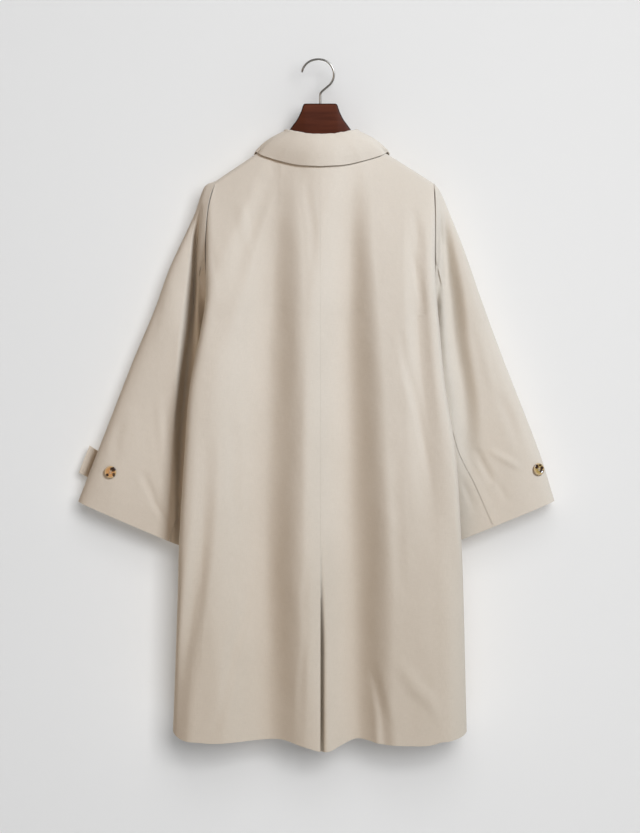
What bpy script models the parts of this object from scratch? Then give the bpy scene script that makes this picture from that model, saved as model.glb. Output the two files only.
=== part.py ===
"""A car coat on a wooden hanger, hanging from the hanger's wire hook.

Metres, +Z up. The origin is the crown of the hook's inside, where the hook sits on what holds it.
+X is the wearer's left and +Y is out of the coat's back; the fronts face -Y.
Cloth pieces are grids on the garment's middle surface, thickened to a wall.
"""

import math

import bmesh
import bpy
from mathutils import Vector

NAME = "car_coat_on_hanger"


def table(columns, *rows):
    """Rows with named columns."""
    names = columns.split()
    return [dict(zip(names, row)) for row in rows]


# Cloth
WALL = 0.0015
SEAM = 0.0003
PLUMB_X = -0.0022  # the coat's centre line hangs this far beside the hook's crown
DATUM_Z = -0.0036  # the level that the coat's and the wood's own heights are taken from
COLUMNS = 16  # across a back panel, from the centre seam to the side
NECK_COLUMN = 6  # the column that ends at the neck point
ROWS_BELOW = 9  # rows from the hem to the underarm
ROWS_ABOVE = 12  # rows from the underarm to the shoulder tip, half a turn of the armhole

# Heights and half widths of the body, the depth of its back and front from the hanger's plane,
# and the roll at its side: its radius, and the angle at which the back panel ends.
BODY = table(
    "z left right back front roll turn",
    (-1.160, 0.2485, 0.2465, 0.058, 0.056, 0.046, -75),
    (-1.040, 0.2436, 0.2436, 0.057, 0.056, 0.044, -78),
    (-0.906, 0.2386, 0.2399, 0.056, 0.055, 0.040, -84),
    (-0.810, 0.2359, 0.2360, 0.055, 0.055, 0.036, -90),
    (-0.658, 0.2268, 0.2263, 0.053, 0.054, 0.034, -90),
    (-0.550, 0.2184, 0.2090, 0.051, 0.053, 0.034, -90),
    (-0.455, 0.2005, 0.2000, 0.049, 0.053, 0.034, -90),
    (-0.402, 0.1924, 0.1955, 0.048, 0.052, 0.033, -38),
    (-0.340, 0.1920, 0.1924, 0.046, 0.050, 0.030, 0),
    (-0.280, 0.1905, 0.1924, 0.043, 0.047, 0.026, 30),
    (-0.240, 0.1860, 0.1920, 0.040, 0.044, 0.023, 60),
    (-0.205, 0.1770, 0.1910, 0.038, 0.042, 0.020, 90),
)
ROLL_SQUARE = 0.6  # 1 leaves the side's roll round, less squares it
UNDERARM_Z = -0.455
FRONT_SWELL = 0.010  # how far the front's armhole edge bows forward
CAP_GAP = 0.0008  # from the shoulder's end to the middle of the sleeve's edge
CAP_OPEN = 12  # how soon below the tip the armhole opens by a wall; more is sooner
LOW_START = 0.72  # share of the armhole's height from which its low end turns under
LOW_FADE = 0.25
LOW_OUT = 0.0009

# Each side's shoulder: the seam's outer end, and the neck point that it starts from.
SHOULDER = {
    1: {"tip_x": 0.177, "tip_z": -0.2013, "neck_z": -0.1270},
    -1: {"tip_x": 0.191, "tip_z": -0.2047, "neck_z": -0.1295},
}
# The neckline: depth and drop at the centre back and front, and how round the drop is.
NECKLINE = {
    True: {"depth": 0.036, "drop": 0.031, "round": 1.0},
    False: {"depth": 0.042, "drop": 0.105, "round": 3.0},
}
NECK_SQUARE = 0.8  # how soon the neckline leaves the hanger's plane; less is sooner
NECK_SIDE = 0.02  # width beside the neck point where the shoulder's edges stand wider apart
NECK_OPEN = 1.5  # how much wider, in shoulder gaps
NECK_SPREAD = 1.25  # how far out, in neck widths, the cloth below the neckline swells
NECK_FADE = 0.045  # drop over which the neckline's own curve dies away
CREST = 0.008  # radius of the cloth over the hanger's arm
SHOULDER_GAP = 0.0006  # from the hanger's plane to the middle of each panel's top edge
SWELL = 0.08  # drop below the shoulder over which most of the depth is reached

# Height of the hems by the share of the way from the centre to the side seam.
HEM = {
    True: table(
        "a left right",
        (0.00, -1.156, -1.157),
        (0.05, -1.151, -1.156),
        (0.10, -1.146, -1.148),
        (0.19, -1.138, -1.137),
        (0.31, -1.139, -1.144),
        (0.44, -1.141, -1.146),
        (0.55, -1.142, -1.145),
        (0.64, -1.138, -1.136),
        (0.82, -1.121, -1.124),
        (1.00, -1.116, -1.118),
    ),
    False: table(
        "a left right",
        (0.00, -1.142, -1.142),
        (0.60, -1.138, -1.138),
        (0.85, -1.125, -1.127),
        (1.00, -1.116, -1.118),
    ),
}

# Folds of the back panels, each by height: the line of its bottom, the widths of its gentle
# wall, toward the wearer's left, and of its steep wall, and its depth.
BACK_FOLDS = [
    table(
        "z x gentle steep depth",
        (-1.160, 0.086, 0.080, 0.070, 0.026),
        (-1.020, 0.090, 0.090, 0.070, 0.032),
        (-0.840, 0.094, 0.100, 0.068, 0.035),
        (-0.660, 0.092, 0.100, 0.072, 0.033),
        (-0.490, 0.088, 0.090, 0.064, 0.029),
        (-0.320, 0.080, 0.070, 0.050, 0.017),
        (-0.220, 0.074, 0.046, 0.038, 0.005),
        (-0.160, 0.072, 0.030, 0.030, 0.000),
    ),
    table(
        "z x gentle steep depth",
        (-1.160, -0.060, 0.070, 0.070, 0.026),
        (-1.020, -0.056, 0.080, 0.074, 0.034),
        (-0.840, -0.052, 0.080, 0.072, 0.038),
        (-0.660, -0.046, 0.078, 0.068, 0.037),
        (-0.490, -0.044, 0.070, 0.060, 0.031),
        (-0.320, -0.048, 0.060, 0.042, 0.018),
        (-0.220, -0.052, 0.042, 0.034, 0.005),
        (-0.160, -0.056, 0.030, 0.026, 0.000),
    ),
    table(
        "z x gentle steep depth",
        (-0.500, 0.180, 0.030, 0.030, 0.000),
        (-0.400, 0.156, 0.034, 0.030, 0.005),
        (-0.300, 0.125, 0.030, 0.024, 0.005),
        (-0.230, 0.098, 0.024, 0.020, 0.002),
        (-0.190, 0.092, 0.022, 0.020, 0.000),
    ),
    table(
        "z x gentle steep depth",
        (-0.840, -0.190, 0.030, 0.030, 0.000),
        (-0.640, -0.176, 0.034, 0.030, 0.006),
        (-0.480, -0.166, 0.026, 0.024, 0.008),
        (-0.320, -0.160, 0.024, 0.020, 0.004),
        (-0.250, -0.158, 0.020, 0.018, 0.000),
    ),
]

# The vent below the centre seam: the left panel laps over an underlap of the right one.
VENT_TOP_Z = -0.838
VENT_CLEAR = 0.005  # from the vent's top to the top of the underlap
UNDERLAP = 0.038
UNDERLAP_SHARE = 0.115  # its width as a share of the panel's
UNDERLAP_RISE = 0.004  # its hem above the hem of the panel that covers it
UNDERLAP_COLUMNS = (-1, -0.6, -0.25)  # shares of its width, from the inner edge to the vent

# How far the right panel sinks beside the vent: it starts above the vent's top, fades in over
# a height, and goes from a share at the top to the whole depth lower down.
SINK = {
    "depth": 0.0075,
    "above": 0.035,
    "fade": 0.05,
    "share": 0.45,
    "full": 0.25,
    "ease": 0.014,  # width beside the vent's edge
}

# Sleeves. Shares from the armhole, 0, to the cuff, 1; the outer edge's place, and the
# depths of the outer and inner edges and how far the back and front swell from them.
SLEEVE_EDGE = {
    1: table(
        "s x z",
        (0.000, 0.1775, -0.2018),
        (0.030, 0.1950, -0.2100),
        (0.087, 0.2117, -0.2545),
        (0.270, 0.2554, -0.3470),
        (0.400, 0.2806, -0.4160),
        (0.565, 0.3175, -0.5030),
        (0.780, 0.3632, -0.6200),
        (1.000, 0.4110, -0.7420),
    ),
    -1: table(
        "s x z",
        (0.000, 0.1915, -0.2052),
        (0.030, 0.2020, -0.2180),
        (0.087, 0.2176, -0.2530),
        (0.200, 0.2436, -0.3167),
        (0.360, 0.2732, -0.4007),
        (0.530, 0.3074, -0.4931),
        (0.830, 0.3713, -0.6577),
        (1.000, 0.3975, -0.7410),
    ),
}
SLEEVE_DEPTH = table(
    "s outer inner back front",
    (0.00, 0.000, -0.0225, 0.024, 0.018),
    (0.05, -0.006, -0.0300, 0.016, 0.022),
    (0.10, -0.012, -0.0350, 0.0175, 0.022),
    (0.20, -0.020, -0.0360, 0.026, 0.022),
    (0.35, -0.026, -0.0360, 0.034, 0.021),
    (0.60, -0.030, -0.0360, 0.031, 0.019),
    (0.80, -0.032, -0.0360, 0.024, 0.017),
    (1.00, -0.033, -0.0350, 0.017, 0.015),
)
INNER_HEM_Z = {1: -0.821, -1: -0.811}
INNER_CLEAR = 0.003  # from the body's side seam to the sleeve's inner edge
INNER_SPREAD = 0.024  # how much further out that edge is at the cuff
SLEEVE_ROWS = (0, 0.03, 0.065, 0.11, 0.17, 0.24, 0.33, 0.42, 0.52, 0.62, 0.72, 0.81, 0.91, 1.0)
SLEEVE_TURN = 15  # degrees between points round the armhole
SLEEVE_GAP = 0.0006  # from a sleeve's seam to the middle of each piece's edge
TOP_SLEEVE = (-120, 135)  # where the top sleeve's seams meet the armhole, front and back

# The back seam of the sleeves, by the share along: degrees round from the outer edge.
BACK_SEAM = table(
    "s left right",
    (0.00, 135, 135),
    (0.60, 150, 145),
    (0.80, 142, 124),
    (1.00, 134, 108),
)
FRONT_SEAM = -118

# The valley in each sleeve's back beside the body, in the same columns as the back's folds.
SLEEVE_VALLEY = {
    1: table(
        "z x gentle steep depth",
        (-0.780, 0.236, 0.030, 0.030, 0.010),
        (-0.650, 0.238, 0.032, 0.026, 0.020),
        (-0.570, 0.235, 0.036, 0.026, 0.025),
        (-0.486, 0.222, 0.036, 0.026, 0.026),
        (-0.402, 0.211, 0.030, 0.020, 0.018),
        (-0.318, 0.207, 0.018, 0.014, 0.012),
        (-0.250, 0.199, 0.012, 0.010, 0.000),
    ),
    -1: table(
        "z x gentle steep depth",
        (-0.700, 0.258, 0.030, 0.030, 0.000),
        (-0.570, 0.250, 0.034, 0.030, 0.008),
        (-0.400, 0.228, 0.030, 0.026, 0.009),
        (-0.290, 0.212, 0.020, 0.020, 0.003),
        (-0.240, 0.204, 0.016, 0.016, 0.000),
    ),
}

# Collar: degrees round the neck from the centre back to the centre front, and the places
# of the fold and of the fall's edge; x is a share of the sides' reach below.
COLLAR_REACH = {
    1: {"fold": 0.0585, "edge": 0.1110},
    -1: {"fold": 0.0630, "edge": 0.1165},
}
COLLAR = table(
    "turn fold_z edge_x edge_z",
    (0, -0.1243, 0.000, -0.1797),
    (20, -0.1235, 0.330, -0.1766),
    (40, -0.1206, 0.640, -0.1678),
    (60, -0.1178, 0.870, -0.1590),
    (90, -0.1160, 1.000, -0.1525),
    (120, -0.1330, 0.960, -0.1900),
    (150, -0.1720, 0.760, -0.2500),
    (180, -0.2150, 0.520, -0.2950),
)
COLLAR_SIDE_TURNS = (66, 75, 83, 97, 105, 114)
COLLAR_END = 178.4  # where the collar's ends stop, short of the centre front
COLLAR_LIFT = 0.0039  # from the body's middle surface to the fall's, in depth
FOLD_Y = {True: 0.035, False: 0.044}
FOLD_SQUARE = 0.6  # how soon the fold leaves the hanger's plane; less is sooner
FOLD_RADIUS = 0.0028
STAND_SHARE = 0.6  # of the height from the neck seam to the fold
STAND_STEP = 2  # degrees to either side that give the neckline's direction
FALL_ROWS = (0, 0.20, 0.27, 0.33, 0.40, 0.60, 0.80, 1)
FOLD_START = 0.20
FOLD_END = 0.40
FALL_BULGE = 0.004
FALL_RISE = 0.5  # how much of the bulge is upward
EDGE_HINT = 0.001  # tells the edge's back from its front before it is moved out

# Cuff straps: the share along the sleeve at the middle, and where the end is past the
# outer edge.
STRAP_MIDDLE = 0.889
STRAP_WIDTH = 0.047
STRAP_WALL = 0.0025
STRAP_LIFT = 0.0025
STRAP_START = -0.55  # share across the sleeve, from the inner edge, -1, to the outer, 1
STRAP_LEVEL = 0.60  # share across from which the strap no longer follows the sleeve's depth
STRAP_HELD = 0.80  # share across from which it runs straight on
STRAP_COLUMNS = 8
STRAP_ROWS = (-1, -0.4, 0.4, 1)
STRAP_END = {1: 0.019, -1: -0.023}

# Buttons
BUTTON_RADIUS = 0.0100
BUTTON_THICK = 0.0034
BUTTON_DISH = 0.0008
BUTTON_RIM = BUTTON_THICK / 3
# The button's outline from the dish round to its back: how far in from the edge, in rims, and
# the height.
BUTTON_PROFILE = table(
    "rims z",
    (2.4, BUTTON_THICK - BUTTON_DISH),
    (1.4, BUTTON_THICK),
    (0.5, BUTTON_THICK),
    (0.0, BUTTON_THICK - BUTTON_RIM),
    (0.5, 0.0006),
    (1.4, 0.0),
)
BUTTON_GAP = 0.0006  # at the middle of the back, so that it clears the curved cloth
HOLE_RADIUS = 0.0010
HOLE_SPREAD = 0.0024
BUTTON_SIDES = 16
HOLE_SIDES = 6
BACK_BUTTON = {1: {"s": 0.875, "across": 0.625}, -1: {"s": 0.876, "across": 0.855}}
STRAP_BUTTON_INSET = 0.026
FRONT_BUTTONS = 5
FRONT_BUTTON_SHARE = 0.011  # of the way from the centre front to the side
FRONT_TOP_Z = -0.270
FRONT_STEP = 0.160
FRONT_LAP = 0.020
LAP_LIFT = 0.0012
LAP_EASE = 0.020

# Hanger: the neck by the distance from the middle, with its top, bottom and half thickness;
# the arms with the rest below the cloth's middle surface, the depth and half thickness.
HANGER_NECK = table(
    "x top bottom half",
    (0.0000, -0.0700, -0.1500, 0.0085),
    (0.0250, -0.0701, -0.1500, 0.0085),
    (0.0276, -0.0710, -0.1502, 0.0085),
    (0.0292, -0.0736, -0.1505, 0.0085),
    (0.0325, -0.0850, -0.1510, 0.0083),
    (0.0375, -0.0970, -0.1520, 0.0081),
    (0.0445, -0.1085, -0.1545, 0.0077),
    (0.0520, -0.1200, -0.1580, 0.0067),
    (0.0600, -0.1310, -0.1610, 0.0055),
    (0.0660, -0.1360, -0.1650, 0.0050),
)
HANGER_ARM = table(
    "x rest deep half",
    (0.0750, 0.0050, 0.030, 0.0052),
    (0.0920, 0.00165, 0.031, 0.0064),
    (0.1200, 0.00165, 0.029, 0.0064),
    (0.1500, 0.00165, 0.027, 0.0064),
    (0.1610, 0.0025, 0.024, 0.0058),
    (0.1690, 0.0060, 0.017, 0.0042),
    (0.1725, 0.0110, 0.009, 0.0026),
)
# Outline of the hanger's section: share of the half thickness, and the drop from the top.
HANGER_TOP = table("y drop", (0.0, 0.0), (0.55, 0.0025), (0.88, 0.0046), (1.0, 0.0085))
HANGER_FULL = 0.02  # height of the section above which those drops apply whole
HANGER_BELLY = 0.14  # share of the height at which the sides turn in
HANGER_FOOT = 0.6  # share of the half thickness at the bottom

# Hook
WIRE = 0.0019
HOOK_RADIUS = 0.0253
HOOK_TIP = 6.7  # degrees from +X at which the wire's open end is
HOOK_LEAVE = 233.4  # degrees at which the wire leaves the circle for the stem
STEM_BEND_Z = -0.0546
STEM_BEND = 0.004
HOOK_STEPS = 26
HOOK_BEND_STEPS = 4
SHARP_ANGLE = 40  # degrees between faces from which an edge is shaded sharp

FABRIC = {"colour": (0.66, 0.60, 0.50), "roughness": 0.85, "metallic": 0.0}
HORN = {"colour": (0.45, 0.22, 0.07), "roughness": 0.25, "metallic": 0.0}
WOOD = {"colour": (0.09, 0.028, 0.016), "roughness": 0.35, "metallic": 0.0}
STEEL = {"colour": (0.62, 0.60, 0.56), "roughness": 0.20, "metallic": 1.0}


# reading the tables


def read(rows, column, at, key="z"):
    """The column's value at a place between the rows, on a smooth curve through them."""
    rows = sorted(rows, key=lambda row: row[key])
    places = [row[key] for row in rows]
    values = [row[column] for row in rows]
    if at <= places[0]:
        return values[0]
    if at >= places[-1]:
        return values[-1]
    i = max(k for k in range(len(places) - 1) if places[k] <= at)
    span = places[i + 1] - places[i]

    def slope(k):
        before, after = max(k - 1, 0), min(k + 1, len(places) - 1)
        return (values[after] - values[before]) / (places[after] - places[before])

    s = (at - places[i]) / span
    return (
        (1 + 2 * s) * (1 - s) ** 2 * values[i]
        + s * (1 - s) ** 2 * span * slope(i)
        + s * s * (3 - 2 * s) * values[i + 1]
        - s * s * (1 - s) * span * slope(i + 1)
    )


def side_name(side):
    return "left" if side > 0 else "right"


def mix(low, high, share):
    return low + (high - low) * share


def ease(share):
    """0 to 1, starting and ending level."""
    share = min(max(share, 0.0), 1.0)
    return share * share * (3 - 2 * share)


def dip(folds, x, z):
    """Depth of the folds at a place."""
    total = 0.0
    for fold in folds:
        off = x - read(fold, "x", z)
        off /= read(fold, "gentle" if off > 0 else "steep", z)
        if abs(off) < 1:
            total += read(fold, "depth", z) * math.cos(off * math.pi / 2) ** 2
    return total


# the body's surface


def neck_x(side):
    return SHOULDER[side]["tip_x"] * NECK_COLUMN / COLUMNS


def top_edge(side, x, back):
    """Height of the neckline or shoulder seam above a place, and its depth."""
    shoulder, neck = SHOULDER[side], neck_x(side)
    if x >= neck:
        share = min((x - neck) / (shoulder["tip_x"] - neck), 1.0)
        return mix(shoulder["neck_z"], shoulder["tip_z"], share), 0.0
    inward = math.sqrt(1 - (x / neck) ** 2)
    line = NECKLINE[back]
    z = shoulder["neck_z"] - line["drop"] * inward ** line["round"]
    return z, line["depth"] * inward**NECK_SQUARE


def cloth_depth(side, x, z, back):
    """How far the cloth lies from the hanger's plane, before the roll at the side."""
    top, edge = top_edge(side, x, back)
    beside_neck = ease(1 - abs(x - neck_x(side)) / NECK_SIDE)
    edge = max(edge, SHOULDER_GAP * (1 + NECK_OPEN * beside_neck))
    drop = max(top - z, 0.0)
    full = read(BODY, "back" if back else "front", z)
    deepest = NECKLINE[back]["depth"]
    settled = deepest * (1 - ease(x / (NECK_SPREAD * neck_x(side))))
    edge = mix(edge, settled, ease(drop / NECK_FADE))
    crest = CREST * (1 - edge / deepest)
    near = min(drop / CREST, 1.0)
    rise = crest * math.sqrt(1 - (1 - near) ** 2)
    swell = 1 - math.exp(-drop / SWELL)
    depth = edge + rise + (full - edge - crest) * swell
    return depth - dip(BACK_FOLDS, side * x, z) if back else depth


def roll_point(angle):
    """The side's roll as shares of its radius: out and up, squared only on the back's side."""
    square = ROLL_SQUARE if angle > 0 else 1
    return math.cos(angle) ** square, math.copysign(abs(math.sin(angle)) ** square, angle)


def back_across(side, a, z):
    """Distance from the centre line, and the fall behind the cloth's depth, at a share a."""
    roll, turn = read(BODY, "roll", z), math.radians(read(BODY, "turn", z))
    flat = read(BODY, side_name(side), z) - roll * roll_point(max(turn, 0))[0]
    along = a * (flat + roll * (math.pi / 2 - turn))
    if along <= flat:
        return along, 0.0
    angle = math.pi / 2 - (along - flat) / roll
    out, up = roll_point(angle)
    return flat + roll * out, roll * (1 - up)


def back_edge(side, z):
    """Distance out and depth of the back panel's side edge."""
    x, fall = back_across(side, 1, z)
    return x, cloth_depth(side, x, z, True) - fall


def front_edge(side, z):
    """Distance out and depth of the front's side edge, toward -Y."""
    x, depth = back_edge(side, z)
    below = SEAM + WALL / 2
    if z <= UNDERARM_Z:
        return x, below - depth
    tip = SHOULDER[side]["tip_z"]
    share = min((z - UNDERARM_Z) / (tip - UNDERARM_Z), 1.0)
    near = min(max(tip - z, 0.0) / CREST, 1.0)
    crest = CREST * math.sqrt(1 - (1 - near) ** 2)
    start = below - back_edge(side, UNDERARM_Z)[1] - CREST
    swell = FRONT_SWELL * math.sin(math.pi * share)
    return x, crest + start * (1 - share) + swell + SHOULDER_GAP * share


def column_height(side, a, t, back):
    """Height at a share a of the width, with t from the hem, 0, to the top edge, 1."""
    if a >= 0:
        hem = read(HEM[back], side_name(side), a, "a")
    else:
        hem = read(HEM[back], side_name(-side), -a * UNDERLAP_SHARE, "a") + UNDERLAP_RISE
    top = top_edge(side, max(a, 0) * SHOULDER[side]["tip_x"], back)[0]
    return mix(hem, top, t)


def vent_sink(x, z):
    """How far the right panel lies below the left one beside the vent, for x from -UNDERLAP."""
    down = ease((VENT_TOP_Z + SINK["above"] - z) / SINK["fade"])
    deeper = mix(SINK["share"], 1.0, ease((VENT_TOP_Z - z) / SINK["full"]))
    return SINK["depth"] * down * deeper * ease((SINK["ease"] - x) / SINK["ease"])


def back_point(side, a, t):
    z = column_height(side, a, t, True)
    if a < 0:
        x = a * UNDERLAP
        y = cloth_depth(-side, -x, z, True)
    else:
        x, fall = back_across(side, a, z)
        x = max(x, SEAM / 2)
        y = cloth_depth(side, x, z, True) - fall
    if side < 0:
        y -= vent_sink(x, z)
    return Vector((side * x, y, z))


def front_point(side, a, t):
    z = column_height(side, max(a, 0), t, False)
    edge_x, edge_y = front_edge(side, z)
    full = cloth_depth(side, min(edge_x, SHOULDER[side]["tip_x"]), z, False)
    swell = max(full - edge_y, 0.0)
    flat = edge_x - swell
    length = flat + swell * math.pi / 2
    along = a * length if a >= 0 else a * FRONT_LAP
    if along <= flat:
        x, depth = along, cloth_depth(side, abs(along), z, False)
    else:
        angle = (along - flat) / max(swell, 1e-6)
        x = flat + swell * math.sin(angle)
        depth = edge_y + swell * math.cos(angle)
        depth += (cloth_depth(side, x, z, False) - full) * math.cos(angle)
    lap = LAP_LIFT * ease((FRONT_LAP + LAP_EASE - x) / LAP_EASE)
    depth += lap if side < 0 else -lap
    y = -max(depth, SEAM / 2)
    return Vector((side * x, y, z))


# the sleeves' surface


def armhole_point(side, turn):
    """The armhole's edge, with turn in degrees from the shoulder tip over the back."""
    tip = SHOULDER[side]["tip_z"]
    share = (1 - math.cos(math.radians(turn))) / 2
    z = mix(tip, UNDERARM_Z, share)
    turned = (turn + 180) % 360 - 180
    low = ease((share - LOW_START) / LOW_FADE)
    out = CAP_GAP + WALL * ease(share * CAP_OPEN) + LOW_OUT * low
    if -180 < turned < 0:
        x, depth = front_edge(side, z)
        return Vector((x + out, -depth, z))
    x, depth = back_edge(side, z)
    return Vector((x + out, depth - (WALL + 2 * SEAM) * low, z - SEAM * low))


def sleeve_ellipse(side, s, turn):
    angle = math.radians(turn)
    outer = Vector(
        (read(SLEEVE_EDGE[side], "x", s, "s"), 0, read(SLEEVE_EDGE[side], "z", s, "s"))
    )
    inner_z = mix(UNDERARM_Z, INNER_HEM_Z[side], s)
    inner_x = back_edge(side, inner_z)[0] + INNER_CLEAR + INNER_SPREAD * s
    inner = Vector((inner_x, 0, inner_z))
    share = (1 + math.cos(angle)) / 2
    point = inner.lerp(outer, share)
    middle = mix(
        read(SLEEVE_DEPTH, "inner", s, "s"), read(SLEEVE_DEPTH, "outer", s, "s"), share
    )
    swell = read(SLEEVE_DEPTH, "back" if math.sin(angle) > 0 else "front", s, "s")
    point.y = middle + swell * math.sin(angle)
    if math.sin(angle) > 0:
        point.y -= dip([SLEEVE_VALLEY[side]], point.x, point.z) * math.sin(angle)
    return point


def sleeve_point(side, s, turn):
    """A point of a sleeve, mirrored to its side, with turn from the outer edge over the back."""
    point = sleeve_ellipse(side, s, turn)
    off = armhole_point(side, turn) - sleeve_ellipse(side, 0, turn)
    wide = 1 - ease(s / 0.36)
    deep = 1 - ease(s / 0.14)
    point += Vector((off.x * wide, off.y * deep, off.z * wide))
    return Vector((side * point.x, point.y, point.z))


def nudge(side, s, turn, distance):
    """The turn that lies a distance further round the sleeve."""
    step = 0.5
    arc = (sleeve_point(side, s, turn + step) - sleeve_point(side, s, turn - step)).length
    return turn + distance * 2 * step / arc


# making cloth pieces


def place(point):
    """A point of the coat or the wood, in the part's frame."""
    return Vector((point.x + PLUMB_X, point.y, point.z + DATUM_Z))


def material(name, look):
    found = bpy.data.materials.new(name)
    found.use_nodes = True
    shader = found.node_tree.nodes["Principled BSDF"]
    shader.inputs["Base Color"].default_value = (*look["colour"], 1)
    shader.inputs["Roughness"].default_value = look["roughness"]
    shader.inputs["Metallic"].default_value = look["metallic"]
    found.diffuse_color = (*look["colour"], 1)
    return found


def add_object(name, mesh, look):
    """A named object in the coat's collection, with a material of its own."""
    data = bpy.data.meshes.new(name)
    mesh.to_mesh(data)
    mesh.free()
    data.materials.append(material(name, look))
    data.shade_smooth()
    data.set_sharp_from_angle(angle=math.radians(SHARP_ANGLE))
    obj = bpy.data.objects.new(name, data)
    bpy.data.collections[NAME].objects.link(obj)
    return obj


def thicken(obj, wall):
    solid = obj.modifiers.new("Wall", "SOLIDIFY")
    solid.thickness = wall
    solid.offset = 0
    solid.use_even_offset = True


def cloth(name, point, columns, rows, wall=WALL, keep=None):
    """A cloth piece: point(column, row) over the grid of columns and rows."""
    mesh = bmesh.new()
    bmesh.ops.create_grid(
        mesh, x_segments=len(columns) - 1, y_segments=len(rows) - 1, size=1
    )
    where = {}
    for vert in mesh.verts:
        i = round((vert.co.x + 1) / 2 * (len(columns) - 1))
        j = round((vert.co.y + 1) / 2 * (len(rows) - 1))
        where[vert] = (columns[i], rows[j])
    if keep:
        dropped = [f for f in mesh.faces if not keep([where[v] for v in f.verts])]
        bmesh.ops.delete(mesh, geom=dropped, context="FACES")
    for vert in mesh.verts:
        vert.co = place(point(*where[vert]))
    obj = add_object(name, mesh, FABRIC)
    thicken(obj, wall)
    return obj


def body_rows(side):
    """Shares of the height, even up to the underarm and by the armhole's turn above it."""
    hem = read(HEM[True], side_name(side), 1, "a")
    tip = SHOULDER[side]["tip_z"]
    split = (UNDERARM_Z - hem) / (tip - hem)
    below = [split * k / ROWS_BELOW for k in range(ROWS_BELOW)]
    above = [
        mix(split, 1, (1 - math.cos(math.pi * k / ROWS_ABOVE)) / 2)
        for k in range(ROWS_ABOVE + 1)
    ]
    return below + above


def make_backs():
    columns = [k / COLUMNS for k in range(COLUMNS + 1)]
    cloth("back_left", lambda a, t: back_point(1, a, t), columns, body_rows(1))

    def below_vent(corners):
        inside = min(a for a, _ in corners) < 0
        top = max(back_point(-1, 0, t).z for _, t in corners)
        return not inside or top < VENT_TOP_Z - VENT_CLEAR

    cloth(
        "back_right",
        lambda a, t: back_point(-1, a, t),
        list(UNDERLAP_COLUMNS) + columns,
        body_rows(-1),
        keep=below_vent,
    )


def make_fronts():
    inner = [k / COLUMNS for k in range(NECK_COLUMN + 1)]
    outer = [k / COLUMNS for k in range(NECK_COLUMN + 2, COLUMNS + 1, 2)]
    for side in (1, -1):
        cloth(
            "front_" + side_name(side),
            lambda a, t, side=side: front_point(side, a, t),
            [-1] + inner + outer,
            body_rows(side),
        )


def make_sleeves():
    front, back = TOP_SLEEVE
    for side in (1, -1):

        def seams(s):
            start = mix(front, FRONT_SEAM, s)
            return start, read(BACK_SEAM, side_name(side), s, "s")

        def top(share, s):
            start, end = seams(s)
            start = nudge(side, s, start, SLEEVE_GAP)
            end = nudge(side, s, end, -SLEEVE_GAP)
            return sleeve_point(side, s, mix(start, end, share))

        def under(share, s):
            start, end = seams(s)
            first = nudge(side, s, end, SLEEVE_GAP)
            last = nudge(side, s, start + 360, -SLEEVE_GAP)
            return sleeve_point(side, s, mix(first, last, share))

        for part, point, turn in (
            ("top", top, back - front),
            ("under", under, 360 - back + front),
        ):
            count = turn // SLEEVE_TURN
            columns = [k / count for k in range(count + 1)]
            cloth(f"sleeve_{side_name(side)}_{part}", point, columns, SLEEVE_ROWS)


# the collar


def neck_knots():
    """The neckline at the panels' columns: degrees round from the centre back, and the point."""
    knots = []
    for back in (True, False):
        for k in range(NECK_COLUMN + 1):
            turn = math.degrees(math.asin(k / NECK_COLUMN))
            knots.append((turn if back else 180 - turn, k / NECK_COLUMN, back))
    return sorted(set(knots), key=lambda knot: (knot[0], not knot[2]))


def neck_seam(turn):
    """The neckline's point at a turn, with the wearer's left positive."""
    side = 1 if turn >= 0 else -1
    points = []
    for at, share, back in neck_knots():
        z, depth = top_edge(side, share * neck_x(side), back)
        points.append((at, Vector((share * neck_x(side), depth if back else -depth, z))))
    for (low, start), (high, end) in zip(points, points[1:]):
        if low <= abs(turn) <= high and high > low:
            point = start.lerp(end, (abs(turn) - low) / (high - low))
            return Vector((side * point.x, point.y, point.z))


def collar_turns():
    """Degrees round the collar: the neckline's knots, with more between them at the sides."""
    knots = [knot[0] for knot in neck_knots()]
    half = sorted({round(turn, 3) for turn in knots + list(COLLAR_SIDE_TURNS)})
    return [-turn for turn in reversed(half[1:])] + half


def outward(turn):
    """The level direction out of the neck."""
    side = 1 if turn >= 0 else -1
    angle = math.radians(abs(turn))
    return Vector((side * math.sin(angle), math.cos(angle), 0))


def collar_fold(turn):
    side = 1 if turn >= 0 else -1
    angle = math.radians(abs(turn))
    back = abs(turn) <= 90
    y = FOLD_Y[back] * abs(math.cos(angle)) ** FOLD_SQUARE
    x = COLLAR_REACH[side]["fold"] * math.sin(angle)
    z = read(COLLAR, "fold_z", abs(turn), "turn")
    return Vector((side * x, y if back else -y, z))


def clear_of_body(point):
    """The point, moved out so that the collar lies on the body's cloth and not in it."""
    side = 1 if point.x >= 0 else -1
    back = point.y >= 0
    x = abs(point.x)
    if point.z > top_edge(side, x, back)[0] + COLLAR_LIFT:
        return point
    least = cloth_depth(side, x, point.z, back) + COLLAR_LIFT + (0 if back else 2 * LAP_LIFT)
    depth = max(abs(point.y), least)
    return Vector((point.x, depth if back else -depth, point.z))


def collar_edge(turn):
    side = 1 if turn >= 0 else -1
    x = side * COLLAR_REACH[side]["edge"] * read(COLLAR, "edge_x", abs(turn), "turn")
    z = read(COLLAR, "edge_z", abs(turn), "turn")
    y = math.cos(math.radians(abs(turn))) * EDGE_HINT
    return clear_of_body(Vector((x, y, z)))


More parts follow.
